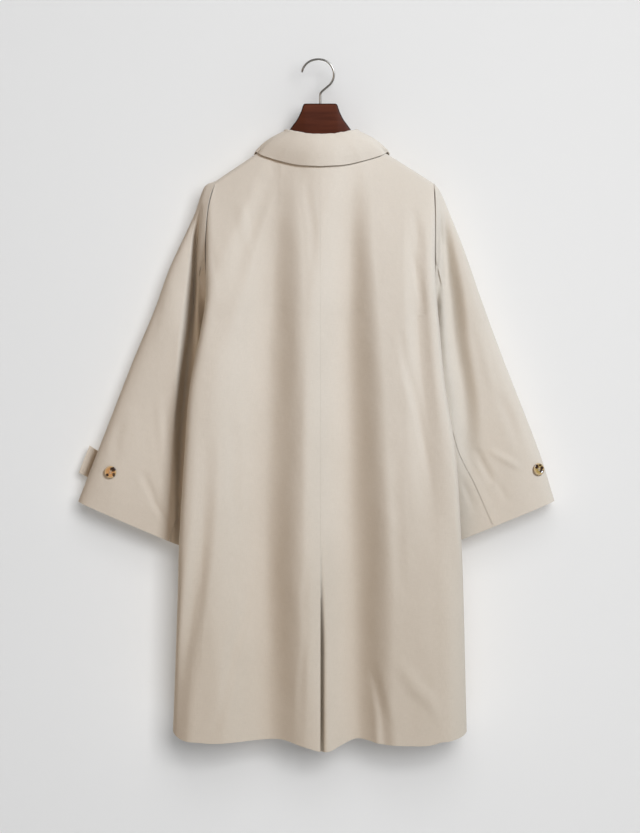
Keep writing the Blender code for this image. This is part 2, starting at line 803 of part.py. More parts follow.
def stand_rise(turn):
    """The direction in which the stand leaves the neckline, square to it."""
    side = 1 if turn >= 0 else -1
    seam = neck_seam(turn)
    after = neck_seam(min(abs(turn) + STAND_STEP, 180) * side)
    along = after - neck_seam(max(abs(turn) - STAND_STEP, 0) * side)
    back = seam.y >= 0
    low = seam.z - CREST / 2
    depth = cloth_depth(side, abs(seam.x), low, back)
    up = seam - Vector((seam.x, depth if back else -depth, low))
    up -= along * (up.dot(along) / along.length_squared)
    return up.normalized()


def stand_top(turn):
    inside = collar_fold(turn) - outward(turn) * FOLD_RADIUS
    return neck_seam(turn).lerp(inside, STAND_SHARE)


def stand_point(turn, share):
    turn = max(-COLLAR_END, min(COLLAR_END, turn))
    start = neck_seam(turn) + stand_rise(turn) * (2 * SEAM + WALL)
    end = stand_top(turn)
    return start.lerp(end - (end - start).normalized() * 2 * SEAM, share)


def fall_point(turn, share):
    """The fall, from its seam with the stand, 0, over the fold to its edge, 1."""
    turn = max(-COLLAR_END, min(COLLAR_END, turn))
    fold, edge, out = collar_fold(turn), collar_edge(turn), outward(turn)
    drop = Vector((0, 0, FOLD_RADIUS))
    inside, outside = fold - out * FOLD_RADIUS - drop, fold + out * FOLD_RADIUS - drop
    if share <= FOLD_START:
        return stand_top(turn).lerp(inside, share / FOLD_START)
    if share <= FOLD_END:
        angle = math.pi * (share - FOLD_START) / (FOLD_END - FOLD_START)
        over = inside.lerp(outside, (1 - math.cos(angle)) / 2)
        return over + drop * math.sin(angle)
    down = (share - FOLD_END) / (1 - FOLD_END)
    bulge = FALL_BULGE * math.sin(math.pi * down)
    return clear_of_body(outside.lerp(edge, down) + (out + Vector((0, 0, FALL_RISE))) * bulge)


def make_collar():
    cloth("collar_stand", stand_point, collar_turns(), [0, 0.5, 1])
    cloth("collar_fall", fall_point, collar_turns(), FALL_ROWS)


# straps and buttons


def sleeve_front(side, s, across):
    """A point on the front of a sleeve, across from the inner edge, -1, to the outer, 1."""
    turn = -math.degrees(math.acos(max(-1, min(across, 1))))
    return sleeve_point(side, s, turn)


def strap_point(side, share, along):
    """The strap's middle surface: the sleeve's front, moved out and run on past its edge."""
    s = STRAP_MIDDLE + along * STRAP_WIDTH / 2 / sleeve_length(side)
    outer = sleeve_point(side, s, 0)
    inner = sleeve_point(side, s, 180)
    half = (outer - inner).length / 2
    across = mix(STRAP_START, 1 + STRAP_END[side] / half, share)
    held = min(across, STRAP_HELD)
    base = sleeve_front(side, s, held)
    reach = (outer - inner).normalized()
    point = base + reach * (across - held) * half
    point.y = sleeve_front(side, s, min(across, STRAP_LEVEL)).y - STRAP_LIFT
    return point


def sleeve_length(side):
    start, end = sleeve_point(side, 0.5, 0), sleeve_point(side, 1, 0)
    return (end - start).length * 2


def make_straps():
    columns = [k / STRAP_COLUMNS for k in range(STRAP_COLUMNS + 1)]
    for side in (1, -1):
        cloth(
            "strap_" + side_name(side),
            lambda share, along, side=side: strap_point(side, share, along),
            columns,
            STRAP_ROWS,
            wall=STRAP_WALL,
        )


def make_button(name, middle, facing):
    """A dished disc with a rounded rim and four holes, its back at middle."""
    mesh = bmesh.new()
    ring = []
    for row in BUTTON_PROFILE:
        out = BUTTON_RADIUS - row["rims"] * BUTTON_RIM
        ring.append(mesh.verts.new((out, 0, row["z"])))
    edges = [mesh.edges.new(pair) for pair in zip(ring, ring[1:])]
    bmesh.ops.spin(
        mesh,
        geom=ring + edges,
        cent=(0, 0, 0),
        axis=(0, 0, 1),
        angle=2 * math.pi,
        steps=BUTTON_SIDES,
        use_merge=True,
    )
    bmesh.ops.remove_doubles(mesh, verts=mesh.verts, dist=1e-6)
    open_edges = [e for e in mesh.edges if e.is_boundary]
    bmesh.ops.holes_fill(mesh, edges=open_edges)
    bmesh.ops.recalc_face_normals(mesh, faces=mesh.faces)
    turn = Vector((0, 0, 1)).rotation_difference(facing)
    for vert in mesh.verts:
        vert.co = turn @ vert.co + middle
    button = add_object(name, mesh, HORN)
    cutter_mesh = bmesh.new()
    for k in range(4):
        angle = math.pi / 4 + k * math.pi / 2
        made = bmesh.ops.create_cone(
            cutter_mesh,
            cap_ends=True,
            segments=HOLE_SIDES,
            radius1=HOLE_RADIUS,
            radius2=HOLE_RADIUS,
            depth=3 * BUTTON_THICK,
        )
        shift = Vector((math.cos(angle), math.sin(angle), 0)) * HOLE_SPREAD
        bmesh.ops.translate(cutter_mesh, verts=made["verts"], vec=shift)
    for vert in cutter_mesh.verts:
        vert.co = turn @ vert.co + middle
    data = bpy.data.meshes.new(name + "_holes")
    cutter_mesh.to_mesh(data)
    cutter_mesh.free()
    cutter = bpy.data.objects.new(name + "_holes", data)
    cutter.hide_render = True
    cutter.display_type = "WIRE"
    bpy.data.collections["cutters"].objects.link(cutter)
    cut = button.modifiers.new("Holes", "BOOLEAN")
    cut.object = cutter
    cut.operation = "DIFFERENCE"
    cut.solver = "EXACT"


def sew_on(name, surface, spot, step, back, wall):
    """A button on the cloth at surface(*spot), facing out of its back or its front."""
    u, v = spot
    across = surface(u + step[0], v) - surface(u - step[0], v)
    along = surface(u, v + step[1]) - surface(u, v - step[1])
    facing = across.cross(along).normalized()
    if (facing.y > 0) != back:
        facing.negate()
    make_button(name, place(surface(u, v)) + facing * (wall / 2 + BUTTON_GAP), facing)


def make_buttons():
    for side in (1, -1):

        def sleeve_back(s, turn, side=side):
            return sleeve_point(side, s, turn)

        spot = BACK_BUTTON[side]
        turn = math.degrees(math.acos(spot["across"]))
        name = "button_back_" + side_name(side)
        sew_on(name, sleeve_back, (spot["s"], turn), (0.01, 1), True, WALL)

        def strap(share, along, side=side):
            return strap_point(side, share, along)

        share = 1 - STRAP_BUTTON_INSET / (strap(1, 0) - strap(0, 0)).length
        name = "button_strap_" + side_name(side)
        sew_on(name, strap, (share, 0), (0.01, 0.01), False, STRAP_WALL)

    def right_front(a, t):
        return front_point(-1, a, t)

    hem, top = right_front(0, 0).z, right_front(0, 1).z
    for number in range(FRONT_BUTTONS):
        z = FRONT_TOP_Z - number * FRONT_STEP
        spot = (FRONT_BUTTON_SHARE, (z - hem) / (top - hem))
        sew_on(f"button_front_{number + 1}", right_front, spot, (0.01, 0.01), False, WALL)


# the hanger


def hanger_section(x):
    """The hanger's outline at a signed distance from its middle, from the top round."""
    side, out = (1 if x >= 0 else -1), abs(x)
    if out <= HANGER_NECK[-1]["x"]:
        top = read(HANGER_NECK, "top", out, "x")
        bottom = read(HANGER_NECK, "bottom", out, "x")
        half = read(HANGER_NECK, "half", out, "x")
    else:
        top = top_edge(side, out, True)[0] - read(HANGER_ARM, "rest", out, "x")
        bottom = top - read(HANGER_ARM, "deep", out, "x")
        half = read(HANGER_ARM, "half", out, "x")
    deep = min(1, (top - bottom) / HANGER_FULL)
    points = [(half * row["y"], top - row["drop"] * deep) for row in HANGER_TOP]
    points += [(half, mix(bottom, top, HANGER_BELLY)), (half * HANGER_FOOT, bottom), (0.0, bottom)]
    mirrored = [(-y, z) for y, z in reversed(points[1:-1])]
    return [Vector((x, y, z)) for y, z in points + mirrored]


def make_hanger():
    out = [row["x"] for row in HANGER_NECK + HANGER_ARM]
    stations = [-x for x in reversed(out[1:])] + out
    mesh = bmesh.new()
    rings = []
    for x in stations:
        rings.append([mesh.verts.new(place(point)) for point in hanger_section(x)])
    count = len(rings[0])
    for low, high in zip(rings, rings[1:]):
        for k in range(count):
            after = (k + 1) % count
            mesh.faces.new((low[k], low[after], high[after], high[k]))
    mesh.faces.new(list(reversed(rings[0])))
    mesh.faces.new(rings[-1])
    bmesh.ops.recalc_face_normals(mesh, faces=mesh.faces)
    add_object("hanger_wood", mesh, WOOD)


def hook_path():
    """The wire's line: over the crown from its tip, in to the stem and down to the wood."""
    centre = Vector((0, 0, WIRE - HOOK_RADIUS))
    path = []
    for k in range(HOOK_STEPS + 1):
        angle = math.radians(mix(HOOK_TIP, HOOK_LEAVE, k / HOOK_STEPS))
        path.append(centre + Vector((math.cos(angle), 0, math.sin(angle))) * HOOK_RADIUS)
    bend = Vector((PLUMB_X, 0, STEM_BEND_Z))
    arrive, leave = (path[-1] - bend).normalized(), Vector((0, 0, -1))
    for k in range(HOOK_BEND_STEPS + 1):
        share = k / HOOK_BEND_STEPS
        near = bend + arrive * STEM_BEND * (1 - share) ** 2
        path.append(near + leave * STEM_BEND * share**2)
    path.append(Vector((PLUMB_X, 0, HANGER_NECK[0]["top"] + DATUM_Z + SEAM)))
    return path


def make_hook():
    curve = bpy.data.curves.new("hanger_hook", "CURVE")
    curve.dimensions = "3D"
    curve.bevel_depth = WIRE
    curve.bevel_resolution = 2
    curve.use_fill_caps = True
    path = hook_path()
    spline = curve.splines.new("POLY")
    spline.points.add(len(path) - 1)
    for point, place_at in zip(spline.points, path):
        point.co = (*place_at, 1)
    curve.materials.append(material("hanger_hook", STEEL))
    hook = bpy.data.objects.new("hanger_hook", curve)
    bpy.data.collections[NAME].objects.link(hook)


def main():
    for obj in list(bpy.data.objects):
        bpy.data.objects.remove(obj)
    for name in (NAME, "cutters"):
        bpy.context.scene.collection.children.link(bpy.data.collections.new(name))
    make_backs()
    make_fronts()
    make_sleeves()
    make_collar()
    make_straps()
    make_buttons()
    make_hanger()
    make_hook()


main()
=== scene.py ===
import math

import bmesh
import bpy
from mathutils import Matrix, Vector, noise


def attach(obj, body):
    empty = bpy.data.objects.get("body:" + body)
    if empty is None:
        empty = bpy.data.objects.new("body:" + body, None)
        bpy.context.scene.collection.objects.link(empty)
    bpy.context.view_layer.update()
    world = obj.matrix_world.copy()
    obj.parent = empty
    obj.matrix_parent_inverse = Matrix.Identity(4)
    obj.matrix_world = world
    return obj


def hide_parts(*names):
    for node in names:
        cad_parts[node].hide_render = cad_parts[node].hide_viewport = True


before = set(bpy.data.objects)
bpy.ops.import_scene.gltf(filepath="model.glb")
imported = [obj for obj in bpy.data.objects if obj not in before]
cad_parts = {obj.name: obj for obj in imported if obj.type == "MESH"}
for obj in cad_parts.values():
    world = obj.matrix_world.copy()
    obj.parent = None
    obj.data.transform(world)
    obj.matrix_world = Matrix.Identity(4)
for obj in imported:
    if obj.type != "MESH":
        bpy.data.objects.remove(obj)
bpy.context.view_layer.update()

# A car coat on a wooden hanger. Metres, Z up; the coat's back faces +Y, the wearer's left is +X.
# Cloth pieces are grids laid on the coat's surface, then given a wall.


def table(columns, *rows):
    names = columns.split()
    return [dict(zip(names, row)) for row in rows]


def foldTable(*rows):  # a long hollow by height: its middle, its reach to each side, its depth
    return table("z x gentle steep depth", *rows)


def creaseTable(*rows):  # a crease a row, from one end to the other; a negative depth is a ridge
    return table("x z toX toZ wide depth", *rows)


curves = {}


def curveOf(rows, column, key):
    ordered = sorted(rows, key=lambda row: row[key])
    places = [row[key] for row in ordered]
    values = [row[column] for row in ordered]
    last = len(places) - 1
    ends = [(max(k - 1, 0), min(k + 1, last)) for k in range(last + 1)]
    slopes = [(values[high] - values[low]) / (places[high] - places[low]) for low, high in ends]
    return places, values, slopes, rows


def read(rows, column, at, key="z"):  # smooth value between a table's rows
    label = (id(rows), column, key)
    if label not in curves:
        curves[label] = curveOf(rows, column, key)
    places, values, slopes, _ = curves[label]
    if at <= places[0]:
        return values[0]
    if at >= places[-1]:
        return values[-1]
    i = 0
    while places[i + 1] < at:
        i += 1
    span = places[i + 1] - places[i]
    s = (at - places[i]) / span
    return (
        (1 + 2 * s) * (1 - s) ** 2 * values[i]
        + s * (1 - s) ** 2 * span * slopes[i]
        + s * s * (3 - 2 * s) * values[i + 1]
        - s * s * (1 - s) * span * slopes[i + 1]
    )


def mix(low, high, share):
    return low + (high - low) * share


tiny = 1e-6  # what counts as nothing, or as the same place


def ease(share):
    share = min(max(share, 0.0), 1.0)
    return share * share * (3 - 2 * share)


def sideName(side):
    return "left" if side > 0 else "right"


def sided(name, side):
    return name + sideName(side).capitalize()


# The coat's surface is worked out as in the solids, with finer creases laid on it.
coat = {
    "plumbX": -0.0022,  # the centre line's distance from the hook's crown
    "datumZ": -0.0036,  # the level that the coat's heights are taken from
    "wall": 0.0013,
    "centreGap": 0.00004,  # half the gap of the pressed back seam
    "sideGap": 0.00105,  # from the back panel to the front one at the side seam
    "shoulderGap": 0.0007,
    "capGap": 0.0006,  # from the body to the sleeve's cap
    "underarmZ": -0.455,
    "lowRows": 0.68,  # share of the rows that lie below the underarm
    "frontSwell": 0.010,  # how far the armhole's front edge bows out
    "crest": 0.008,  # how far down the shoulder's top rounds off
    "swell": 0.08,  # the drop over which it comes out toward its full depth
    "square": 0.45,  # of the sides' roll; 1 is round
    "neckShare": 6 / 16,  # of the shoulder's width
    "neckSquare": 0.8,
    "neckSpread": 1.25,  # the neck's depth fades over this many necks' widths
    "neckFade": 0.045,
    "neckLevel": 0.03,
}
body = table(
    "z left right back front roll turn",
    (-1.160, 0.2485, 0.2465, 0.058, 0.056, 0.046, -75),
    (-1.040, 0.2436, 0.2436, 0.057, 0.056, 0.044, -78),
    (-0.906, 0.2386, 0.2399, 0.056, 0.055, 0.040, -84),
    (-0.810, 0.2359, 0.2360, 0.055, 0.055, 0.036, -90),
    (-0.658, 0.2268, 0.2263, 0.053, 0.054, 0.034, -90),
    (-0.550, 0.2184, 0.2090, 0.051, 0.053, 0.034, -90),
    (-0.455, 0.2005, 0.2000, 0.049, 0.053, 0.034, -90),
    (-0.402, 0.1924, 0.1955, 0.048, 0.052, 0.033, -38),
    (-0.340, 0.1920, 0.1924, 0.046, 0.050, 0.030, 0),
    (-0.280, 0.1905, 0.1924, 0.043, 0.047, 0.026, 30),
    (-0.240, 0.1860, 0.1920, 0.040, 0.044, 0.023, 60),
    (-0.205, 0.1770, 0.1910, 0.038, 0.042, 0.020, 90),
)
shoulder = {
    1: {"tipX": 0.177, "tipZ": -0.2013, "neckZ": -0.1270},
    -1: {"tipX": 0.191, "tipZ": -0.2047, "neckZ": -0.1295},
}
neckline = {
    True: {"depth": 0.036, "drop": 0.031, "round": 1.0},
    False: {"depth": 0.042, "drop": 0.105, "round": 3.0},
}
hem = {
    True: table(
        "a left right",
        (0.00, -1.156, -1.157),
        (0.05, -1.151, -1.156),
        (0.10, -1.146, -1.148),
        (0.19, -1.138, -1.137),
        (0.31, -1.139, -1.144),
        (0.44, -1.141, -1.146),
        (0.55, -1.142, -1.145),
        (0.64, -1.138, -1.136),
        (0.82, -1.121, -1.124),
        (1.00, -1.116, -1.118),
    ),
    False: table(
        "a left right",
        (0.00, -1.142, -1.142),
        (0.60, -1.138, -1.138),
        (0.85, -1.125, -1.127),
        (1.00, -1.116, -1.118),
    ),
}
backFolds = [
    foldTable(
        (-1.160, 0.086, 0.080, 0.070, 0.026),
        (-1.020, 0.090, 0.090, 0.070, 0.032),
        (-0.840, 0.094, 0.100, 0.068, 0.035),
        (-0.660, 0.092, 0.100, 0.072, 0.033),
        (-0.490, 0.088, 0.090, 0.064, 0.029),
        (-0.320, 0.080, 0.070, 0.050, 0.017),
        (-0.220, 0.074, 0.046, 0.038, 0.005),
        (-0.160, 0.072, 0.030, 0.030, 0.000),
    ),
    foldTable(
        (-1.160, -0.060, 0.070, 0.060, 0.026),
        (-1.020, -0.056, 0.080, 0.066, 0.034),
        (-0.840, -0.052, 0.080, 0.072, 0.038),
        (-0.660, -0.046, 0.078, 0.068, 0.037),
        (-0.490, -0.044, 0.070, 0.060, 0.031),
        (-0.320, -0.048, 0.060, 0.042, 0.018),
        (-0.220, -0.052, 0.042, 0.034, 0.005),
        (-0.160, -0.056, 0.030, 0.026, 0.000),
    ),
    foldTable(
        (-0.500, 0.180, 0.030, 0.030, 0.000),
        (-0.400, 0.156, 0.034, 0.030, 0.005),
        (-0.300, 0.125, 0.030, 0.024, 0.005),
        (-0.230, 0.098, 0.024, 0.020, 0.002),
        (-0.190, 0.092, 0.022, 0.020, 0.000),
    ),
    foldTable(
        (-0.840, -0.190, 0.030, 0.030, 0.000),
        (-0.640, -0.176, 0.034, 0.030, 0.006),
        (-0.480, -0.166, 0.026, 0.024, 0.008),
        (-0.320, -0.160, 0.024, 0.020, 0.004),
        (-0.250, -0.158, 0.020, 0.018, 0.000),
    ),
    foldTable(
        (-1.160, 0.244, 0.026, 0.028, 0.009),
        (-1.040, 0.232, 0.026, 0.026, 0.009),
        (-0.930, 0.214, 0.026, 0.024, 0.008),
        (-0.810, 0.197, 0.026, 0.024, 0.007),
        (-0.700, 0.190, 0.024, 0.022, 0.004),
        (-0.600, 0.188, 0.022, 0.020, 0.000),
    ),
    foldTable(
        (-1.160, -0.108, 0.016, 0.020, 0.005),
        (-1.110, -0.106, 0.015, 0.020, 0.0045),
        (-1.060, -0.097, 0.012, 0.016, 0.003),
        (-1.010, -0.086, 0.012, 0.014, 0.000),
    ),
    foldTable(
        (-1.160, -0.247, 0.040, 0.020, 0.012),
        (-1.040, -0.244, 0.038, 0.020, 0.012),
        (-0.920, -0.238, 0.034, 0.020, 0.008),
        (-0.800, -0.222, 0.024, 0.020, 0.002),
        (-0.740, -0.214, 0.020, 0.020, 0.000),
    ),
]


def dip(folds, x, z):
    total = 0.0
    for fold in folds:
        off = x - read(fold, "x", z)
        off /= read(fold, "gentle" if off > 0 else "steep", z)
        if abs(off) < 1:
            total += read(fold, "depth", z) * math.cos(off * math.pi / 2) ** 2
    return total


frontFolds = [
    foldTable(
        (-1.160, sign * 0.118, 0.050, 0.050, 0.011),
        (-0.900, sign * 0.114, 0.052, 0.050, 0.011),
        (-0.640, sign * 0.108, 0.048, 0.048, 0.008),
        (-0.440, sign * 0.100, 0.040, 0.040, 0.003),
        (-0.340, sign * 0.096, 0.036, 0.036, 0.000),
    )
    for sign in (1, -1)
]
backCreases = creaseTable(
    (-0.155, -0.325, -0.193, -0.540, 0.011, 0.0034),
    (-0.133, -0.455, -0.197, -0.750, 0.014, 0.0034),
    (0.190, -0.275, 0.168, -0.400, 0.009, 0.0014),
    (0.120, -0.880, 0.160, -1.060, 0.016, 0.0022),
    (0.150, -1.000, 0.175, -1.130, 0.012, 0.0014),
    (-0.122, -1.000, -0.225, -1.130, 0.020, -0.0026),
    (-0.092, -1.075, -0.099, -1.170, 0.010, -0.0008),
    (0.020, -0.195, 0.008, -0.360, 0.012, 0.0010),
    (-0.010, -0.560, -0.018, -0.760, 0.012, 0.0009),
    (0.020, -0.830, 0.034, -1.140, 0.010, 0.0012),
    (-0.150, -0.215, -0.172, -0.330, 0.012, 0.0012),
    (0.140, -0.200, 0.120, -0.330, 0.014, -0.0012),
    (0.150, -0.560, 0.140, -0.820, 0.016, 0.0012),
    (-0.120, -0.640, -0.135, -0.900, 0.018, 0.0016),
)
frontCreases = creaseTable(
    (0.070, -0.300, 0.165, -0.250, 0.012, 0.0018),
    (-0.075, -0.310, -0.170, -0.255, 0.012, 0.0018),
    (0.060, -0.420, 0.175, -0.330, 0.014, 0.0026),
    (-0.065, -0.430, -0.178, -0.335, 0.014, 0.0026),
    (0.030, -0.590, 0.090, -0.700, 0.014, 0.0018),
    (-0.030, -0.600, -0.095, -0.720, 0.014, 0.0018),
    (0.160, -0.620, 0.200, -0.860, 0.016, 0.0026),
    (-0.160, -0.600, -0.198, -0.850, 0.016, 0.0026),
    (0.050, -0.900, 0.036, -1.120, 0.014, 0.0020),
    (-0.052, -0.920, -0.040, -1.120, 0.014, 0.0020),
)
sleeveCreases = {
    1: creaseTable(
        (0.300, -0.690, 0.272, -0.760, 0.010, 0.0022),
        (0.285, -0.735, 0.250, -0.790, 0.007, 0.0014),
        (0.270, -0.705, 0.252, -0.770, 0.006, -0.0010),
        (0.330, -0.600, 0.350, -0.680, 0.014, 0.0012),
        (0.262, -0.360, 0.285, -0.470, 0.012, 0.0012),
        (0.275, -0.560, 0.262, -0.700, 0.012, -0.0012),
    ),
    -1: creaseTable(
        (0.262, -0.650, 0.288, -0.712, 0.010, 0.0026),
        (0.284, -0.654, 0.340, -0.686, 0.009, -0.0022),
        (0.300, -0.560, 0.338, -0.650, 0.014, 0.0014),
        (0.238, -0.700, 0.262, -0.760, 0.007, 0.0016),
        (0.296, -0.705, 0.318, -0.742, 0.008, 0.0010),
        (0.266, -0.440, 0.292, -0.560, 0.012, -0.0012),
    ),
}
elbowCreases = creaseTable(
    (0.225, -0.500, 0.305, -0.465, 0.010, 0.0034),
    (0.230, -0.560, 0.320, -0.520, 0.011, 0.0038),
    (0.240, -0.620, 0.330, -0.585, 0.010, 0.0028),
    (0.235, -0.420, 0.275, -0.395, 0.009, 0.0022),
    (0.290, -0.610, 0.335, -0.680, 0.012, 0.0016),
)
crinkle = {"pace": 14, "seed": 50, "sway": 0.4, "fade": 0.7, "swell": 0.35}  # a crease's wandering


def creased(rows, x, z):
    total = 0.0
    for row in rows:
        runX, runZ = row["toX"] - row["x"], row["toZ"] - row["z"]
        length = math.hypot(runX, runZ)
        along = ((x - row["x"]) * runX + (z - row["z"]) * runZ) / length**2
        if not 0 < along < 1:
            continue
        off = ((x - row["x"]) * runZ - (z - row["z"]) * runX) / length
        seed = crinkle["seed"]
        wander = noise.noise(Vector((along * length * crinkle["pace"], row["x"] * seed, row["z"] * seed)))
        off = off / row["wide"] + crinkle["sway"] * wander
        if abs(off) < 1:
            swell = math.sin(math.pi * along) ** crinkle["fade"] * (1 + crinkle["swell"] * wander)
            total += row["depth"] * swell * math.cos(off * math.pi / 2) ** 2
    return total


unevenness = table(
    "x z seed depth",
    (0.075, 0.16, 0, 0.0016),
    (0.026, 0.050, 7, 0.0005),
)
calm = {"neck": 0.03, "slope": 0.15, "drop": 0.03, "top": 0.06, "side": 0.03}  # where creases fade


def uneven(x, z, seed):  # slow unevenness, the same each run
    total = 0.0
    for row in unevenness:
        total += row["depth"] * noise.noise(Vector((x / row["x"], z / row["z"], seed + row["seed"])))
    return total


def place(point):
    return Vector((point.x + coat["plumbX"], point.y, point.z + coat["datumZ"]))


def neckX(side):
    return shoulder[side]["tipX"] * coat["neckShare"]


def topEdge(side, x, back):
    ends, neck = shoulder[side], neckX(side)
    if x >= neck:
        share = min((x - neck) / (ends["tipX"] - neck), 1.0)
        return mix(ends["neckZ"], ends["tipZ"], share), 0.0
    inward = math.sqrt(1 - (x / neck) ** 2)
    line = neckline[back]
    z = ends["neckZ"] - line["drop"] * inward ** line["round"]
    return z, line["depth"] * inward ** coat["neckSquare"]


def clothDepth(side, x, z, back):
    top, edge = topEdge(side, x, back)
    edge = max(edge, coat["shoulderGap"])
    drop = max(top - z, 0.0)
    if x < neckX(side):
        level = shoulder[side]["neckZ"] - neckline[back]["drop"] * (1 - ease(x / neckX(side)))
        drop = mix(drop, max(level - z, 0.0), ease(drop / coat["neckLevel"]))
    full = read(body, "back" if back else "front", z)
    deepest = neckline[back]["depth"]
    settled = deepest * (1 - ease(x / (coat["neckSpread"] * neckX(side))))
    edge = mix(edge, settled, ease(drop / coat["neckFade"]))
    crest = coat["crest"] * (1 - edge / deepest)
    near = min(drop / coat["crest"], 1.0)
    rise = crest * math.sqrt(1 - (1 - near) ** 2)
    swell = 1 - math.exp(-drop / coat["swell"])
    depth = edge + rise + (full - edge - crest) * swell
    return depth - dip(backFolds if back else frontFolds, side * x, z)


def rollPoint(angle):  # the side's roll, squared on the back's side only
    square = coat["square"] if angle > 0 else 1
    return math.cos(angle) ** square, math.copysign(abs(math.sin(angle)) ** square, angle)


def backAcross(side, a, z):
    roll, turn = read(body, "roll", z), math.radians(read(body, "turn", z))
    flat = read(body, sideName(side), z) - roll * rollPoint(max(turn, 0))[0]
    along = a * (flat + roll * (math.pi / 2 - turn))
    if along <= flat:
        return along, 0.0
    angle = math.pi / 2 - (along - flat) / roll
    out, up = rollPoint(angle)
    return flat + roll * out, roll * (1 - up)


def backEdge(side, z):
    x, fall = backAcross(side, 1, z)
    return x, clothDepth(side, x, z, True) - fall


def frontEdge(side, z):
    x, depth = backEdge(side, z)
    if z <= coat["underarmZ"]:
        return x, coat["sideGap"] - depth
    tip = shoulder[side]["tipZ"]
    share = min((z - coat["underarmZ"]) / (tip - coat["underarmZ"]), 1.0)
    near = min(max(tip - z, 0.0) / coat["crest"], 1.0)
    crest = coat["crest"] * math.sqrt(1 - (1 - near) ** 2)
    start = coat["sideGap"] - backEdge(side, coat["underarmZ"])[1] - coat["crest"]
    swell = coat["frontSwell"] * math.sin(math.pi * share)
    return x, crest + start * (1 - share) + swell + coat["shoulderGap"] * share


def columnHeight(side, a, t, back):
    if a >= 0:
        low = read(hem[back], sideName(side), a, "a")
    else:
        low = read(hem[back], sideName(-side), -a * vent["share"], "a") + vent["rise"]
    return mix(low, topEdge(side, max(a, 0) * shoulder[side]["tipX"], back)[0], t)


def heightShare(side, v):  # even rows to the underarm, then finer toward the shoulder
    low = read(hem[True], sideName(side), 1, "a")
    tip, knee = shoulder[side]["tipZ"], coat["lowRows"]
    split = (coat["underarmZ"] - low) / (tip - low)
    if v <= knee:
        return split * v / knee
    return mix(split, 1, (1 - math.cos(math.pi * (v - knee) / (1 - knee))) / 2)


def lapShare(u, lap):  # the lap's columns run from -1 to 0, the others from 0 to 1
    return (u - lap) / (1 - lap) if u >= lap else u / lap - 1


def feed(tree, node, inputs):  # a socket takes a number or colour, or a link from another socket
    for name, value in inputs.items():
        socket = node.inputs[name]
        if isinstance(value, bpy.types.NodeSocket):
            tree.links.new(value, socket)
        else:
            socket.default_value = (*value, 1) if socket.type == "RGBA" else value


def addNode(tree, kind, inputs=None, **settings):
    node = tree.nodes.new("ShaderNode" + kind)
    for name, value in settings.items():
        setattr(node, name, value)
    feed(tree, node, inputs or {})
    return node


def newMaterial(name):
    made = bpy.data.materials.new(name)
    made.use_nodes = True
    return made, made.node_tree, made.node_tree.nodes["Principled BSDF"]


def objectSpace(tree):
    return addNode(tree, "TexCoord").outputs["Object"]


def pieceMap(tree, name):
    return addNode(tree, "UVMap", uv_map=name).outputs["UV"]


def addMath(tree, kind, operation, *values):
    return addNode(tree, kind, dict(enumerate(values)), operation=operation).outputs[0]


def addRamp(tree, source, look):
    ramp = addNode(tree, "ValToRGB", {"Fac": source})
    for stop, at, colour in zip(ramp.color_ramp.elements, look["tones"], (look["deep"], look["pale"])):
        stop.position = at
        stop.color = (*colour, 1)
    return ramp.outputs["Color"]


def addNoise(tree, source, scale, detail=3.0, stretch=(1, 1, 1), output="Fac"):
    laid = addNode(tree, "Mapping", {"Vector": source, "Scale": stretch}).outputs["Vector"]
    return addNode(tree, "TexNoise", {"Vector": laid, "Scale": scale, "Detail": detail}).outputs[output]


def mixColour(tree, factor, first, second):
    return addNode(tree, "Mix", {0: factor, 6: first, 7: second}, data_type="RGBA").outputs[2]


def smoothRange(tree, source, start, end):
    inputs = {"Value": source, "From Min": start, "From Max": end}
    return addNode(tree, "MapRange", inputs, interpolation_type="SMOOTHSTEP").outputs["Result"]


def spread(tree, source, low, high):
    return addNode(tree, "MapRange", {"Value": source, "To Min": low, "To Max": high}).outputs["Result"]


def addBump(tree, height, strength, distance, under=None):
    inputs = {"Height": height, "Strength": strength, "Distance": distance}
    if under is not None:
        inputs["Normal"] = under
    return addNode(tree, "Bump", inputs).outputs["Normal"]


def setLook(tree, shader, colour, rough, normal, surface):
    feed(tree, shader, {"Base Color": colour, "Roughness": rough, "Normal": normal, **surface})


cloth = {
    "pale": (0.705, 0.645, 0.563),
    "deep": (0.605, 0.545, 0.462),
    "tones": (0.28, 0.72),
    "yarn": {"scale": 1500, "detail": 2, "stretch": (1, 0.06, 1)},
    "weft": {"scale": 1500, "detail": 2, "stretch": (0.06, 1, 1)},
    "yarnShare": 0.32,
    "slow": {"scale": 9, "detail": 4, "stretch": (1, 1, 0.6)},
    "slowShare": 0.36,
    "hemShadeTone": (0.89, 0.865, 0.83),  # painted shade: the cloth is coloured a little darker toward the hem
    "hemShadeZ": (-1.12, -0.45),
    "wave": {"Distortion": 0.6, "Detail": 1.0},
    "waveLength": 0.628,  # of the bands at a scale of 1
    "twillPitch": 0.0012,  # along the cloth's width
    "twillBump": (0.5, 0.00012),  # strength and height
    "mottle": {"scale": 70, "detail": 3},
    "mottleBump": (0.35, 0.0012),
    "rough": 0.86,
    "surface": {"Specular IOR Level": 0.25, "Sheen Weight": 0.12, "Sheen Roughness": 0.45},
}


